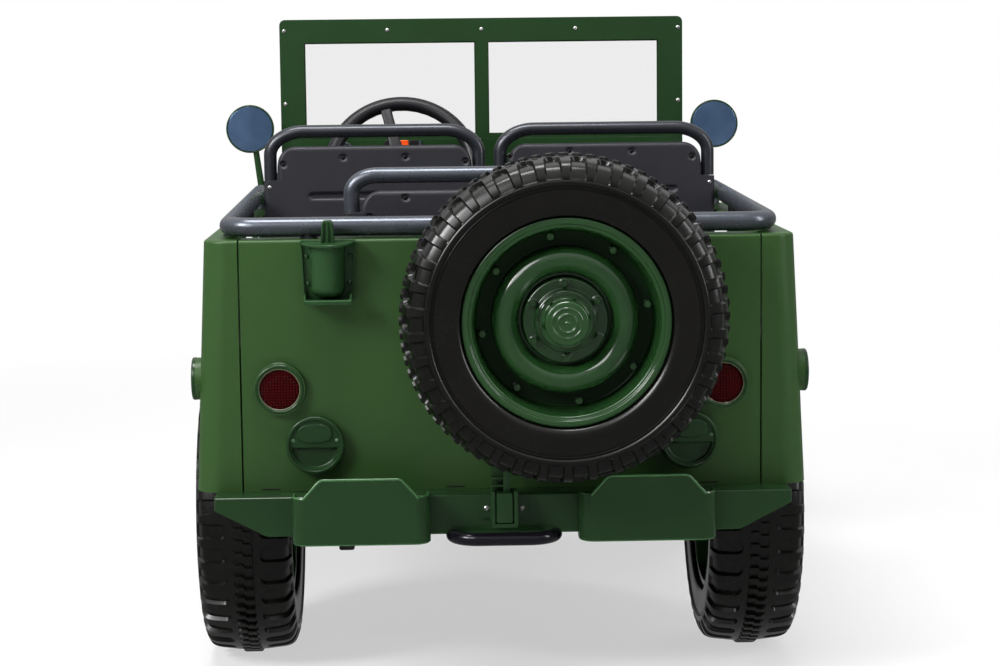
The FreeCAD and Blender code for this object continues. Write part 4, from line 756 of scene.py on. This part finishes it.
# ---------------- mirrors
# Round plastic mirrors on leaning stalks pushed into the deck. The back of a head is a
# shallow dome; its face is blue tinted mirror film inside a thin rim.
mirror_film = drifting("mirror_film", 0.55, ((0.35, (66, 89, 119)), (0.65, (83, 108, 139))),
                       18.0, (0.16, 0.26), 60.0)
HEAD_RADIUS = 0.0375
head_line = eased([(0.2, 34.0), (-1.4, 35.2), (-1.4, 36.9), (1.0, 37.5), (5.0, 36.6),
                   (9.5, 30.0), (11.6, 19.0), (12.0, 0.3)], 1.2, 4)
head_line = np.concatenate([[(0.2, 0.3)], head_line])
collar_line = eased([(0.0, 9.5), (2.4, 9.5), (4.0, 7.4), (9.0, 6.4), (9.4, 0.3)], 0.8, 3)
for side, name in ((-1, "mirror_left"), (1, "mirror_right")):
    low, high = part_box(name)
    outermost = low.x if side < 0 else high.x
    head = np.array([outermost - side * HEAD_RADIUS, low.y, high.z - HEAD_RADIUS])
    stalk_foot = np.array([side * 0.344, low.y + 0.006, 0.5625])
    stalk_top = head + [-side * 0.006, 0.006, -0.020]
    stalk = eased([stalk_foot, stalk_foot * 0.35 + stalk_top * 0.65, stalk_top], 0.02, 9)
    piece(name + "_head", [lathe(head_line, head, (0, 1, 0), 72),
                           tube(stalk, np.linspace(0.0052, 0.0046, len(stalk)), (0, 1, 0), 20),
                           lathe(collar_line, stalk_foot, (0, 0, 1), 32)],
          green_trim, "body", [name])
dress(mirror_film, "mirror_glasses", ease=0.0006)

# ---------------- hood
# One green moulding, flat-topped with rolled shoulders, hinged at the cowl. A raised
# middle crease, side louvres and a rubber catch on each side are moulded or screwed on.
dress(green_skin, "hood", ease=0.002, segments=3)
hood_low, hood_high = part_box("hood")
HOOD_BACK, HOOD_FRONT = hood_low.y, hood_high.y


def hood_side(y):
    """The hood's half-width at a place along it (it narrows evenly to the grille)."""
    return 0.262 - 0.070 * (y - HOOD_BACK) / (HOOD_FRONT - HOOD_BACK)


def louvre(y, side):
    """A pressed louvre: an upright scoop whose section is half a sine over its width."""
    up, wide = np.linspace(0, 1, 15)[:, None], np.linspace(0, 1, 11)[None]
    ahead, level = np.broadcast_arrays(y + 0.017 * wide, 0.468 + 0.082 * up)
    bulge = 0.0052 * np.sin(np.pi * up) ** 0.5 * np.sin(np.pi * wide ** 1.7)
    face = np.stack([side * (hood_side(ahead) - 0.0006 + bulge), ahead, level], -1)
    back = np.stack([side * (hood_side(ahead) - 0.0015), ahead, level], -1)
    return grid(np.concatenate([face, back[:, ::-1]], 1), caps=True)


piece("hood_louvres", [louvre(y, side) for side in (-1, 1)
                       for y in 0.372 + 0.026 * np.arange(8)], green_skin, "body")
ridge_y = np.linspace(HOOD_BACK + 0.012, HOOD_FRONT - 0.004, 30)[:, None]
ridge_top = np.interp(ridge_y, [HOOD_BACK, HOOD_FRONT], [0.6160, 0.5900])
ridge_x = np.linspace(-1, 1, 9)[None]
ridge_rise = 0.0024 * (1 - ridge_x ** 2) ** 0.5 - 0.0008
ridge = [np.stack(np.broadcast_arrays(0.011 * across, ridge_y, ridge_top + rise), -1)
         for across, rise in ((ridge_x, ridge_rise), (ridge_x[:, ::-1], -0.002))]
piece("hood_ridge", [grid(np.concatenate(ridge, 1), caps=True)], green_skin, "body")
hinge = tube([(across, HOOD_BACK - 0.002, 0.6168) for across in (-0.205, 0.205)], 0.0042,
             (0, 0, 1), 16)
piece("hood_hinge", [hinge], green_trim, "body")
catch = slab(box_line(0.598, 0.618, 0.436, 0.486, 0.005), -0.0035, 0.0035, 0.0018, axis=0)
catch_out = hood_side(0.608) + 0.0030
piece("hood_catches", [copies(catch, [(-catch_out, 0, 0), (catch_out, 0, 0)])], screw_black,
      "body")

# ---------------- grille and headlamps
# A pressed upright face with nine slots and round lamps behind it: a clear fluted lens
# over a bright bowl, inside a chamfered green ring clipped into the face.
dress(green_skin, "grille", ease=0.0018, segments=3)
bowl_bright = drifting("bowl_bright", 1.0, ((0.3, (186, 190, 192)), (0.7, (226, 228, 228))),
                       30.0, (0.12, 0.22), 90.0)
lens_clear = Finish("lens_clear", {"Base Color": (0.95, 0.96, 0.95, 1), "Roughness": 0.04,
                                   "Transmission Weight": 1.0, "IOR": 1.3})
flutes = lens_clear.node("TexWave", {"Scale": 46.0}, wave_type="BANDS", bands_direction="X")
lens_clear.join(lens_clear.spots(), flutes.inputs["Vector"])
lens_clear.bump((flutes.outputs["Fac"], 0.0009))
grille_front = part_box("grille")[1].y
lamp_places = [(side * 0.143, grille_front, 0.505) for side in (-1, 1)]
swing = np.linspace(0.02, 1, 14)
bowl_line = np.concatenate([np.stack([-22.0 + 20.0 * swing ** 2, 34.0 * swing], 1),
                            [(-1.0, 35.0), (-3.5, 35.8), (-40.0, 35.8), (-41.0, 30.0),
                             (-41.0, 0.5)]])
swing = np.linspace(0.01, 1, 10)
glass_line = np.concatenate([np.stack([5.0 - 5.0 * swing ** 2, 34.6 * swing], 1),
                             [(-1.6, 34.6), (-1.8, 33.6)],
                             [(2.6 - 4.2 * t ** 2, 33.0 * t) for t in (0.9, 0.6, 0.3, 0.01)]])
ring_line = eased([(-0.6, 41.5), (1.6, 41.5), (3.4, 39.6), (3.6, 36.0), (2.2, 34.8),
                   (-0.6, 34.8)], 0.9, 4)
bulb_line = [(-20.0, 5.5), (-14.0, 5.0), (-6.0, 5.0), (-3.4, 3.6), (-2.4, 0.3)]
piece("headlamp_bowls", [studs(lamp_places, (0, 1, 0), bowl_line, 72)], bowl_bright, "body",
      ["headlamps"])
piece("headlamp_lenses", [studs(lamp_places, (0, 1, 0), glass_line, 72)], lens_clear, "body")
piece("headlamp_bulbs", [studs(lamp_places, (0, 1, 0), bulb_line)], bowl_bright, "body")
piece("headlamp_rings", [studs(lamp_places, (0, 1, 0), ring_line, 72, loop=True)],
      green_trim, "body")

# ---------------- fenders and front bumper
# Flat-topped front wings with a turned-down lip, and a straight box bumper screwed to
# the chassis horns. Both are blow-moulded in army green.
dress(green_skin, "fender_left", "fender_right", ease=0.0016, segments=3)
dress(green_skin, "front_bumper", ease=0.0012)
bolt_washer = [(0.0, 6.2), (1.2, 6.2), (1.6, 5.6), (1.7, 0.3)]
bolt_head = [(1.4, 4.6), (4.6, 4.6), (5.2, 3.9), (5.3, 0.3)]
bumper_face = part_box("front_bumper")[1].y - 0.0058
bolt_spots = [(x, bumper_face, z) for x in (-0.155, 0.155) for z in (0.232, 0.258)]
piece("bumper_bolts", [studs(bolt_spots, (0, 1, 0), bolt_washer),
                       studs(bolt_spots, (0, 1, 0), bolt_head, 6)],
      screw_black, "body")

# ---------------- steering
# A black three-spoke wheel with finger bumps behind its grip, a soft square horn pad in
# its middle, and a raked plain column that ends at the dash.
wheel_black = moulded("wheel_black", (22, 22, 25), 0.14, (0.3, 0.44), 5e-5)
dress(gloss_black, "steering_column", ease=0.001)
wheel_low, wheel_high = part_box("steering_wheel")
WHEEL_RING, WHEEL_GRIP, WHEEL_TILT = 108.0, 11.5, np.radians(22)
wheel_spot = (np.array(wheel_low) + np.array(wheel_high)) / 2
wheel_axis = np.array([0.0, -np.cos(WHEEL_TILT), np.sin(WHEEL_TILT)])
wheel_out, wheel_side, wheel_up = axes(wheel_axis)


def on_wheel(rows):
    """Places rows of (across, up, out) millimetres, measured in the wheel's own plane."""
    return wheel_spot + np.asarray(rows) * MM @ [wheel_side, wheel_up, wheel_out]


def grip_ring():
    """A torus whose tube swells behind by b max(0, -sin a) (1 + cos 40 t) / 2."""
    t = np.arange(320)[:, None] * 2 * np.pi / 320
    a = np.arange(20) * 2 * np.pi / 20
    bump = 0.9 * np.maximum(0, -np.sin(a)) * (1 + np.cos(40 * t)) / 2
    tube_radius = WHEEL_GRIP - 0.9 + bump
    rows = turned(tube_radius * np.sin(a), WHEEL_RING + tube_radius * np.cos(a), t, wheel_spot,
                  wheel_axis)
    return grid(rows, along=True)


def spoke(angle):
    """A strap from the hub to the ring: a rounded bar whose width eases from 24 to 15 mm."""
    way = np.linspace(0, 1, 13)[:, None]
    half = 7.5 + 4.5 * (1 - way) ** 2 + 1.5 * way ** 6
    out = 2.0 + 5.0 * np.sin(np.pi * way * 0.5) * (1 - way)
    a = np.arange(24) * 2 * np.pi / 24
    round_across = np.sign(np.cos(a)) * np.abs(np.cos(a)) ** 0.5
    round_out = np.sign(np.sin(a)) * np.abs(np.sin(a)) ** 0.6 * 4.2
    rows = np.stack(np.broadcast_arrays(14 + 92 * way, half * round_across, out + round_out), -1)
    turn = np.array([[np.cos(angle), np.sin(angle), 0], [-np.sin(angle), np.cos(angle), 0],
                     [0, 0, 1]])
    return grid(on_wheel(rows @ turn), caps=True)


hub_line = eased([(-10.5, 6.6), (-10.5, 29.0), (-2.0, 30.0), (6.0, 28.0), (9.0, 22.0),
                  (9.4, 0.4)], 2.4, 5)
pad_line = box_line(-19, 19, -15, 15, 7, 7)
pad = [np.column_stack([pad_line * scale, np.full(len(pad_line), level)])
       for scale, level in ((1.0, 8.0), (0.97, 12.0), (0.86, 13.4), (0.05, 13.9))]
spokes = [spoke(np.radians(103.5 + 120 * k)) for k in range(3)]
piece("steering_grip", [grip_ring(), lathe(hub_line, wheel_spot, wheel_axis, 64),
                        grid(on_wheel(pad), caps=True), *spokes], wheel_black, "steering_wheel",
      ["steering_wheel"], crease=42)

# ---------------- seats
# Dark grey moulded shells: a footed cushion with a rolled front, and a back panel with
# two long recesses and sunk screws, inside a bent tube of grey coated steel.
seat_grey = moulded("seat_grey", (42, 42, 47), 0.08, (0.36, 0.50), 1.1e-4, 7.0)
tube_grey = moulded("tube_grey", (78, 82, 90), 0.07, (0.22, 0.32), 0.6e-5, 9.0, shine=0.5)
# The front seats' tubes are the same grey coated steel with painted shade, darker than the rail
# and rear hoop.
tube_painted_shade = moulded("tube_painted_shade", (46, 48, 54), 0.07, (0.24, 0.34), 0.6e-5, 9.0, shine=0.5)
for coated, metallic in ((tube_grey, 0.55), (tube_painted_shade, 0.45)):
    coated.shader.inputs["Metallic"].default_value = metallic


def seat_shell(low, high, shoulder, inset, cushion, dips):
    """A seat as a side profile swept across its width.

    Each station x has the profile (y, z) of a footed seat, whose corners are turned by
    quadratic curves; near either side the whole profile draws in by 10 mm times
    (1 - sqrt(1 - s^2)), where s is the share of the last 18 mm. The top of the back turns
    down by r = 26 mm and steps to the shoulder inside the hoop's legs; the cushion and
    backrest dip by a squared cosine between their bolsters."""
    half, corner, thick = (high.x - low.x) / 2, 0.026, 0.034
    notch = half - inset
    side_x = np.concatenate([np.linspace(0, notch - corner, 12),
                             notch - corner + corner * np.sin(np.linspace(0.15, np.pi / 2, 9)),
                             [notch + 0.0003], notch + inset * np.linspace(0.1, 1, 8) ** 0.7])
    x = np.concatenate([-side_x[:0:-1], side_x])
    edge = np.clip((np.abs(x) - (half - 0.018)) / 0.018, 0, 1)
    draw = 0.010 * (1 - np.sqrt(1 - edge ** 2))
    bend = np.clip((np.abs(x) - (notch - corner)) / corner, 0, 1)
    top = np.where(np.abs(x) > notch + 0.0001, shoulder,
                   high.z - 0.001 - corner * (1 - np.sqrt(1 - bend ** 2)))
    across = np.clip(np.abs(x) / (half * 0.72), 0, 1)
    dip = dips * np.cos(np.pi / 2 * across) ** 2
    foot, back, ahead = low.z, low.y + 0.004 + draw * 0.5, high.y - draw
    rest = low.y + 0.004 + thick
    corners = (  # y, z, reach of the curve
        (back, foot, 0.0), (back, (top + foot) / 2, 0.0), (back, top - 0.001 - draw, 0.010),
        (back + thick * 0.8, top - draw, 0.010), (rest, top - 0.02 - draw, 0.02),
        (rest + 0.004 - dip * 0.6, (top + cushion) / 2, 0.05),
        (rest + 0.012, cushion + 0.012 - dip - draw, 0.022),
        (rest + 0.07, cushion - 0.010 - dip - draw, 0.03),
        (ahead - 0.05, cushion - dip * 0.5 - draw, 0.02), (ahead, cushion - 0.004 - draw, 0.018),
        (ahead - 0.004, foot + 0.06, 0.02), (ahead - 0.012, foot, 0.0))
    line = np.stack([np.column_stack(np.broadcast_arrays(y, z, x)[:2]) for y, z, _ in corners], 1)
    reach = np.array([reach for *_, reach in corners])[None, :, None]
    before, after = np.roll(line, 1, 1) - line, np.roll(line, -1, 1) - line
    start, end = (line + way * np.minimum(reach / np.linalg.norm(way, axis=-1, keepdims=True),
                                          0.48) for way in (before, after))
    t = np.linspace(0, 1, 7)[:, None]
    curve = ((1 - t) ** 2 * start[:, :, None] + 2 * t * (1 - t) * line[:, :, None]
             + t ** 2 * end[:, :, None]).reshape(len(x), -1, 2)
    x_rows = np.broadcast_to((x + (low.x + high.x) / 2)[:, None, None], (*curve.shape[:2], 1))
    return grid(np.concatenate([x_rows, curve], -1), caps=True)


def seat_back(low, high, shoulder, inset, dents, slots):
    """The flat back of a seat as heights over (x, z), closed by a plain face 11 mm in.

    The outline is the full width up to the shoulder and narrower above, its top corners
    turned by r = 26 mm. The face falls by e (1 - sqrt(1 - m^2)) over the last e = 6 mm,
    m being the share of that strip; a dent or slot is a smooth step of its distance."""
    half, corner, edge = (high.x - low.x) / 2 - 0.0006, 0.026, 0.006
    z = np.concatenate([np.linspace(low.z + 0.012, shoulder - 0.072, 14),
                        np.linspace(shoulder - 0.070, shoulder - 0.0006, 40),
                        np.linspace(shoulder + 0.0002, high.z - 0.0004, 30)])[:, None]
    bend = np.clip((z - (high.z - corner)) / corner, 0, 0.9995)
    wide = np.where(z < shoulder, half, half - inset - corner * (1 - np.sqrt(1 - bend ** 2)))
    spacing = np.sin(np.linspace(-1, 1, 151) * 0.465 * np.pi) / np.sin(0.465 * np.pi)
    x, up = np.broadcast_arrays(wide * spacing, z)
    near_side = np.clip(1 - (wide - np.abs(x)) / edge, 0, 1)
    near_top = np.clip(1 - (high.z - up) / edge, 0, 1)
    drop = edge * (1 - np.sqrt(1 - np.clip(np.hypot(near_side, near_top), 0, 1) ** 2))
    x = x + (low.x + high.x) / 2

    def sunk(depth, gap):
        """depth where gap, in metres, is above nought, with a wall 0.3 mm soft."""
        return depth / (1 + np.exp(-np.clip(gap / 0.0003, -40, 40)))

    for across, height in dents:
        drop = drop + sunk(0.0026, 0.0043 - np.hypot(x - across, up - height))
    for across, reach, height in slots:
        away = np.hypot(np.maximum(np.abs(x - across) - reach, 0), up - height)
        drop = drop + sunk(0.0030, 0.0042 - away)
    face = np.stack([x, low.y + drop, up], -1)
    flat = np.stack(np.broadcast_arrays(x, low.y + 0.011, up), -1)
    return grid(np.concatenate([face, flat[:, ::-1]], 1), caps=True)


def seat_hoop(name, tube_radius, bend_reach):
    """The bent tube over a seat's shoulders, in one upright plane."""
    low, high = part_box(name)
    y = (low.y + high.y) / 2
    left, right, top = low.x + tube_radius, high.x - tube_radius, high.z - tube_radius
    line = eased([(left, low.z), (left, top), (right, top), (right, low.z)],
                 [0, bend_reach, bend_reach, 0], 15)
    return tube(np.insert(line, 1, y, 1), tube_radius, (0, 1, 0), 32)


SEATS = (  # name, shoulder, inset, cushion, dip, bend reach, tube radius, dents, slots
    ("driver", 0.613, 0.0192, 0.400, 0.012, 0.048, 0.009,
     ((-0.2870, 0.6350), (-0.2040, 0.6435), (-0.1175, 0.6437), (-0.0340, 0.6365)),
     ((-0.2010, 0.046, 0.5905), (-0.1010, 0.046, 0.5905))),
    ("passenger", 0.613, 0.0192, 0.400, 0.012, 0.048, 0.009,
     ((0.0275, 0.6440), (0.1115, 0.6492), (0.1985, 0.6480), (0.2825, 0.6395)),
     ((0.1105, 0.046, 0.5950), (0.2105, 0.046, 0.5950))),
    ("rear", 0.589, 0.0212, 0.410, 0.010, 0.032, 0.010,
     ((-0.1590, 0.5835), (-0.1145, 0.6070), (0.0, 0.6065), (0.1100, 0.6055), (0.1550, 0.5830)),
     ((-0.062, 0.040, 0.555), (0.062, 0.040, 0.555))))
dent_spots, shoulder_spots = [], []
for seat, shoulder, inset, cushion, dip, bend_reach, radius, dents, slots in SEATS:
    low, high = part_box(seat + "_seat_shell")
    piece(seat + "_seat", [seat_shell(low, high, shoulder, inset, cushion, dip),
                           seat_back(low, high, shoulder, inset, dents, slots)],
          seat_grey, "body", [seat + "_seat_shell"], crease=45)
    # The front seats' tubes take the painted shade copy of the grey.
    piece(seat + "_seat_tube", [seat_hoop(seat + "_seat_frame", radius, bend_reach)],
          tube_grey if seat == "rear" else tube_painted_shade, "body",
          [seat + "_seat_frame"])
    dent_spots += [(x, low.y + 0.0027, z) for x, z in dents]
    shoulder_spots += [(x, low.y, shoulder - 0.0095) for x in (low.x + 0.008, high.x - 0.008)]
piece("seat_screws", [screws(dent_spots, (0, -1, 0), 3.3, 1.5, 0.5)], screw_black, "body")
piece("shoulder_screws", [screws(shoulder_spots, (0, -1, 0), 2.7, 1.3, 0.2)], screw_steel,
      "body")

# ---------------- rail round the load space
# Grey coated steel tube bent round the back and along both sides, rising a little to the
# front, where it turns down into the deck. Short posts stand in black grommets under it.
RAIL_TUBE, RAIL_HALF, RAIL_REACH, RAIL_END, RAIL_RISE = 0.0117, 0.331, 0.579, 0.017, np.radians(1)
RAIL_SPOT, DECK_Z = np.array([0, -0.612, 0.5775]), 0.563
rail_tilt = np.array([[1, 0, 0], [0, np.cos(RAIL_RISE), np.sin(RAIL_RISE)],
                      [0, -np.sin(RAIL_RISE), np.cos(RAIL_RISE)]])
plan = eased([(-RAIL_HALF, RAIL_REACH), (-RAIL_HALF, 0.0), (RAIL_HALF, 0.0),
              (RAIL_HALF, RAIL_REACH)], [0, 0.034, 0.034, 0], 17)
rail_path = np.insert(plan, 2, 0.0, 1) @ rail_tilt + RAIL_SPOT
rail_shells = [tube(rail_path, RAIL_TUBE, rail_tilt[2], 36)]
quarter = np.linspace(0, np.pi / 2, 13)
for side in (-1, 1):
    bend = np.column_stack([RAIL_REACH + RAIL_END * np.sin(quarter),
                            -RAIL_END * (1 - np.cos(quarter))])
    down = np.insert(bend, 0, side * RAIL_HALF, 1) @ rail_tilt + RAIL_SPOT
    down = np.concatenate([down, [[*down[-1, :2], DECK_Z + 0.0005]]])
    rail_shells.append(tube(down, RAIL_TUBE, (1, 0, 0), 36))
piece("rail_tube", rail_shells, tube_grey, "body", ["rail"])
post_places = [(side * RAIL_HALF, along) for side in (-1, 1) for along in (0.070, 0.347)]
post_places += [(-0.232, 0), (0.232, 0)]
post_spots = [(across, RAIL_SPOT[1] + along, DECK_Z) for across, along in post_places]
grommet = [(0.0, 11.0), (1.2, 11.0), (2.4, 9.6), (3.0, 7.4), (16.0, 7.2), (16.0, 0.4)]
piece("rail_posts", [studs(post_spots, (0, 0, 1), grommet, 32)], screw_black, "body")

# ---------------- spare wheel carrier
# A turned foot and column in the trim green, screwed to the rear panel; the spare's hub
# slides over it.
dress(green_trim, "spare_carrier", ease=0.002, segments=3)

# ---------------- tyres
# Tyres blown in satin black plastic with a military tread: 38 pockets a side between
# block lugs, a plain rib inside them, and a ladder of small pockets round the middle.
tyre_black = moulded("tyre_rubber", (10, 9, 7), 0.2, (0.20, 0.30), 1.2e-5, 11.0, shine=0.34)
TREAD_PITCHES = 38
# A row of the section is (along the axle, radius, pocket depth, pocket half-width in
# pitches, ladder depth, ladder share); the two lists below hold its first two or four.
bead_to_ring = [(46.0, 118.3), (46.3, 121.8), (47.4, 123.1), (50.6, 123.7), (54.2, 124.6),
                (56.0, 126.4), (57.0, 129.6), (57.3, 136.0), (57.6, 147.0), (57.7, 154.4),
                (57.1, 155.0), (57.1, 155.8), (58.2, 156.3), (58.4, 157.0), (58.0, 157.5),
                (56.4, 157.9), (56.4, 158.9), (58.6, 159.4), (59.6, 160.7), (59.9, 162.3),
                (59.8, 164.0), (59.3, 165.2), (58.9, 165.7)]
lug_face = [(59.3, 166.1, 0.0, 0.282), (59.5, 167.5, 3.0, 0.281), (59.2, 170.0, 3.3, 0.279),
            (58.1, 174.0, 3.6, 0.274), (56.5, 178.0, 4.0, 0.270), (55.0, 181.0, 4.3, 0.267),
            (53.2, 183.6, 4.7, 0.264), (50.6, 185.7, 5.0, 0.260), (47.2, 187.2, 5.1, 0.253),
            (43.6, 188.2, 4.9, 0.246), (39.5, 188.9, 4.7, 0.240), (34.5, 189.5, 4.5, 0.236),
            (28.5, 190.1, 4.2, 0.234)]
pocket_end = np.array([27.6, 26.4, 25.0, 23.7, 22.6, 21.7, 21.1])
end_width = 0.234 * np.sqrt(1 - ((28.5 - pocket_end) / 7.6) ** 2)
rows_out = [(x, r, 0.0, 0.300, 0.0, 0.0) for x, r in bead_to_ring]
rows_out += [(x, r, depth, half, 0.0, 0.0) for x, r, depth, half in lug_face]
rows_out += [(x, 191.9 - 0.0022 * x * x, 4.2, half, 0.0, 0.0)
             for x, half in zip(pocket_end, end_width)]
rows_out += [(20.3, 191.0, 0.0, 0.045, 0.0, 0.0), (19.4, 191.1, 0.0, 0.060, 0.0, 0.1),
             (16.5, 191.3, 0.0, 0.120, 0.0, 0.5), (13.6, 191.5, 0.0, 0.180, 0.0, 0.9),
             (12.4, 191.5, 0.0, 0.200, 0.0, 1.0), (11.9, 191.9, 0.0, 0.200, 1.2, 1.0),
             (11.3, 194.4, 0.0, 0.200, 3.9, 1.0), (10.4, 194.9, 0.0, 0.200, 4.4, 1.0),
             (6.0, 195.0, 0.0, 0.200, 4.5, 1.0), (1.1, 195.0, 0.0, 0.200, 4.5, 1.0)]
WALL, LIP = 0.070, 0.014


def tyre(name, centre, facing, body):
    """A closed ring of tread sections, 10 columns a pitch, each column moved along its row.

    A column's place in its pitch follows the pockets' outline, so that their walls stand
    between two columns: (1 - m) times the lug layout plus m times the ladder layout. A
    point lies in from the section, along its normal, by the depth of its pocket."""
    half = np.array(rows_out)
    whole = np.concatenate([half, half[::-1] * [-1, 1, 1, 1, 1, 1]])
    x, r, depth, width, ladder, share = whole.T
    edge, rim = width + WALL, width + WALL + LIP
    zero = np.zeros_like(x)
    lug = np.stack([zero - 0.5, -rim, -edge, -width, -0.82 * width, zero, 0.82 * width,
                    width, edge, rim], 1)
    bars = np.array([-0.5, -0.409, -0.375, -0.125, -0.091, 0.0, 0.091, 0.125, 0.375, 0.409])
    step = (0.07 * np.sign(x) * share)[:, None]
    place = (1 - share[:, None]) * lug + share[:, None] * bars + step
    sunk = (depth[:, None] * np.array([0, 0, 0, 1, 1, 1, 1, 1, 0, 0])
            + ladder[:, None] * np.array([0, 0, 1, 1, 0, 0, 0, 1, 1, 0]))
    run = np.gradient(np.stack([x, np.minimum(r, 192.0)], 1), axis=0)
    run /= np.linalg.norm(run, axis=1)[:, None]
    inward = np.stack([run[:, 1], -run[:, 0]], 1)
    inward *= np.sign((inward * np.stack([-x, 118.0 - r], 1)).sum(1))[:, None]
    along = x[:, None] + inward[:, :1] * sunk
    radius = r[:, None] + inward[:, 1:] * sunk
    pitches = np.arange(TREAD_PITCHES)[None, :, None]
    turn = ((pitches + place[:, None]) * 2 * np.pi / TREAD_PITCHES).reshape(len(x), -1)
    along, radius = (np.tile(a, (1, TREAD_PITCHES)) for a in (along, radius))
    rows = turned(along, radius, turn, centre, facing)
    piece(name + "_tread", [grid(rows, along=True)], tyre_black, body,
          [name + "_tyre"], crease=28)


wheel_places = {"rear_left": ("rear_left_wheel", (-1, 0, 0)),
                "rear_right": ("rear_right_wheel", (1, 0, 0)),
                "front_left": ("front_left_wheel", (-1, 0, 0)),
                "front_right": ("front_right_wheel", (1, 0, 0)), "spare": ("body", (0, -1, 0))}
wheel_centres = {}
for wheel, (rider, outwards) in wheel_places.items():
    low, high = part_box(wheel + "_tyre")
    wheel_centres[wheel] = (np.array(low) + np.array(high)) / 2
    tyre(wheel, wheel_centres[wheel], outwards, rider)

# ---------------- wheel rims
# Gloss green plastic discs with a fat raised ring and a stepped hub under a domed cap.
# Screws hold the disc in the well, the hub plate and the hub; the bead sits on a barrel.
swell = np.linspace(np.pi, 0, 21)
ring_bulge = np.stack([5.0 + 24.0 * np.sin(swell) ** 0.72, 71.2 + 16.6 * np.cos(swell)], 1)
dome = [(59.8, 0.4), (59.8, 1.8), (58.8, 2.8), (58.8, 9.2), (60.0, 10.0), (60.0, 11.2),
        (58.4, 12.2), (58.2, 16.4), (59.0, 17.0), (58.8, 18.0), (57.8, 19.0), (57.6, 24.2),
        (56.0, 25.8), (52.0, 26.2), (38.0, 26.6)]
hub_steps = [(37.0, 27.6), (37.0, 34.6), (35.6, 36.2), (23.0, 36.8), (22.0, 37.8), (22.0, 48.4),
             (20.6, 50.0), (6.0, 50.8), (3.6, 51.6), (3.6, 54.0)]
well_out = [(5.0, 90.0), (4.4, 94.0), (4.4, 103.4), (7.0, 106.4), (22.0, 107.0), (23.2, 107.8),
            (34.0, 108.2), (35.2, 109.0), (43.6, 109.4), (46.4, 110.2), (47.4, 111.6),
            (47.4, 113.6), (48.2, 114.2), (50.6, 115.0), (51.0, 116.6), (51.0, 120.6),
            (50.0, 122.3), (47.6, 122.6), (46.2, 121.8), (46.0, 118.0)]
behind = [(-46.0, 118.0), (-46.2, 121.8), (-47.6, 122.6), (-50.0, 122.3), (-51.0, 120.6),
          (-51.0, 115.0), (-49.6, 113.0), (-40.0, 112.6), (0.0, 109.0), (0.6, 105.0),
          (0.6, 91.0), (6.0, 83.5), (21.0, 71.0), (4.0, 58.5), (-4.2, 54.0), (-4.2, 28.0),
          (-4.0, 27.0), (-3.9, 26.6), (-4.0, 26.4), (-4.0, 10.4), (-3.6, 10.05), (37.6, 10.05),
          (38.0, 9.6), (38.0, 0.4)]
rim_profile = np.concatenate([eased(dome + hub_steps, 0.5, 3), ring_bulge,
                              eased(well_out, 0.8, 3), behind])
bolt_green = moulded("bolt_green", (44, 80, 42), 0.10, (0.12, 0.2), shine=0.5)


def rim_skin(name, centre, facing):
    """Gloss green with painted shade: darker on the hub plate, far darker in the well round the
    ring.

    The radius is that of (p - centre) with its part along the axle taken out."""
    made = moulded(name, (31, 64, 30), 0.12, (0.09, 0.15), 0.0, 5.0, shine=0.6)
    place = made.spots()
    for operation, vector in (("SUBTRACT", centre), ("MULTIPLY", 1.0 - np.abs(facing))):
        step = made.node("VectorMath", {1: tuple(vector)}, operation=operation)
        made.join(place, step.inputs[0])
        place = step.outputs[0]
    length = made.node("VectorMath", operation="LENGTH")
    made.join(place, length.inputs[0])

    def band(first, last, soft):
        """One between two radii in metres, nought outside them."""
        away = length.outputs["Value"]
        return made.math("MULTIPLY", made.span(away, first, first + soft),
                         made.span(away, last, last + soft, 1.0, 0.0))

    # Painted shade: the recessed hub plate and the well round the ring are darkened by radius.
    well = band(0.0850, 0.1048, 0.0040)
    for share, factor in ((well, 0.3), (band(0.0300, 0.0515, 0.0015), 0.62)):
        shade = made.node("Mix", data_type="RGBA", blend_type="MULTIPLY")
        made.join(share, shade.inputs["Factor"])
        made.join(made.shader.inputs["Base Color"].links[0].from_socket, shade.inputs[6])
        shade.inputs[7].default_value = (factor, factor, factor, 1)
        made.feed(shade.outputs[2], "Base Color")
    # Painted shade in reflections too: the well reflects far less than the rest of the disc.
    made.feed(made.span(well, 0.0, 1.0, 0.6, 0.1), "Specular IOR Level")
    return made


hexagon = [(0.0, 4.8), (4.6, 4.8), (5.6, 3.9), (5.8, 0.3)]
washer = [(0.0, 6.0), (1.0, 6.0), (1.4, 5.5), (1.5, 0.3)]
small_head = [(0.0, 3.2), (2.2, 3.2), (3.0, 2.4), (3.1, 0.3)]


def rim(name, centre, facing, body):
    """The disc with its screws and, on the hub, pairs of short raised arcs 60 degrees apart."""
    def on_disc(angle, radius, along):
        """Points at angles in degrees round the axle."""
        return turned(along, radius, np.radians(angle), centre, facing)

    well_turn, hub_turn, cap_turn = (first + np.arange(count) * 360 / count
                                     for first, count in ((9.5, 8), (32.0, 6), (10.0, 6)))
    arcs = [tube(on_disc(start + np.linspace(-1, 1, 9) * 600 / radius, radius, 37.2), 0.0007,
                 facing, 6) for start in range(40, 400, 60) for radius in (32.6, 34.8)]
    shells = [lathe(rim_profile, centre, facing),
              studs(on_disc(well_turn, 98.5, 4.2), facing, washer),
              studs(on_disc(hub_turn, 43.6, 22.0), facing, washer),
              studs(on_disc(hub_turn, 43.6, 23.0), facing, hexagon, 6),
              studs(on_disc(cap_turn, 30.6, 36.9), facing, small_head, 6), *arcs]
    piece(name + "_well_bolts", [studs(on_disc(well_turn, 98.5, 5.2), facing, hexagon, 6)],
          bolt_green, body)
    piece(name + "_disc", shells, rim_skin(name + "_green", centre, facing), body,
          [name + "_rim"], crease=38)


for wheel, (rider, outwards) in wheel_places.items():
    rim(wheel, wheel_centres[wheel], outwards, rider)
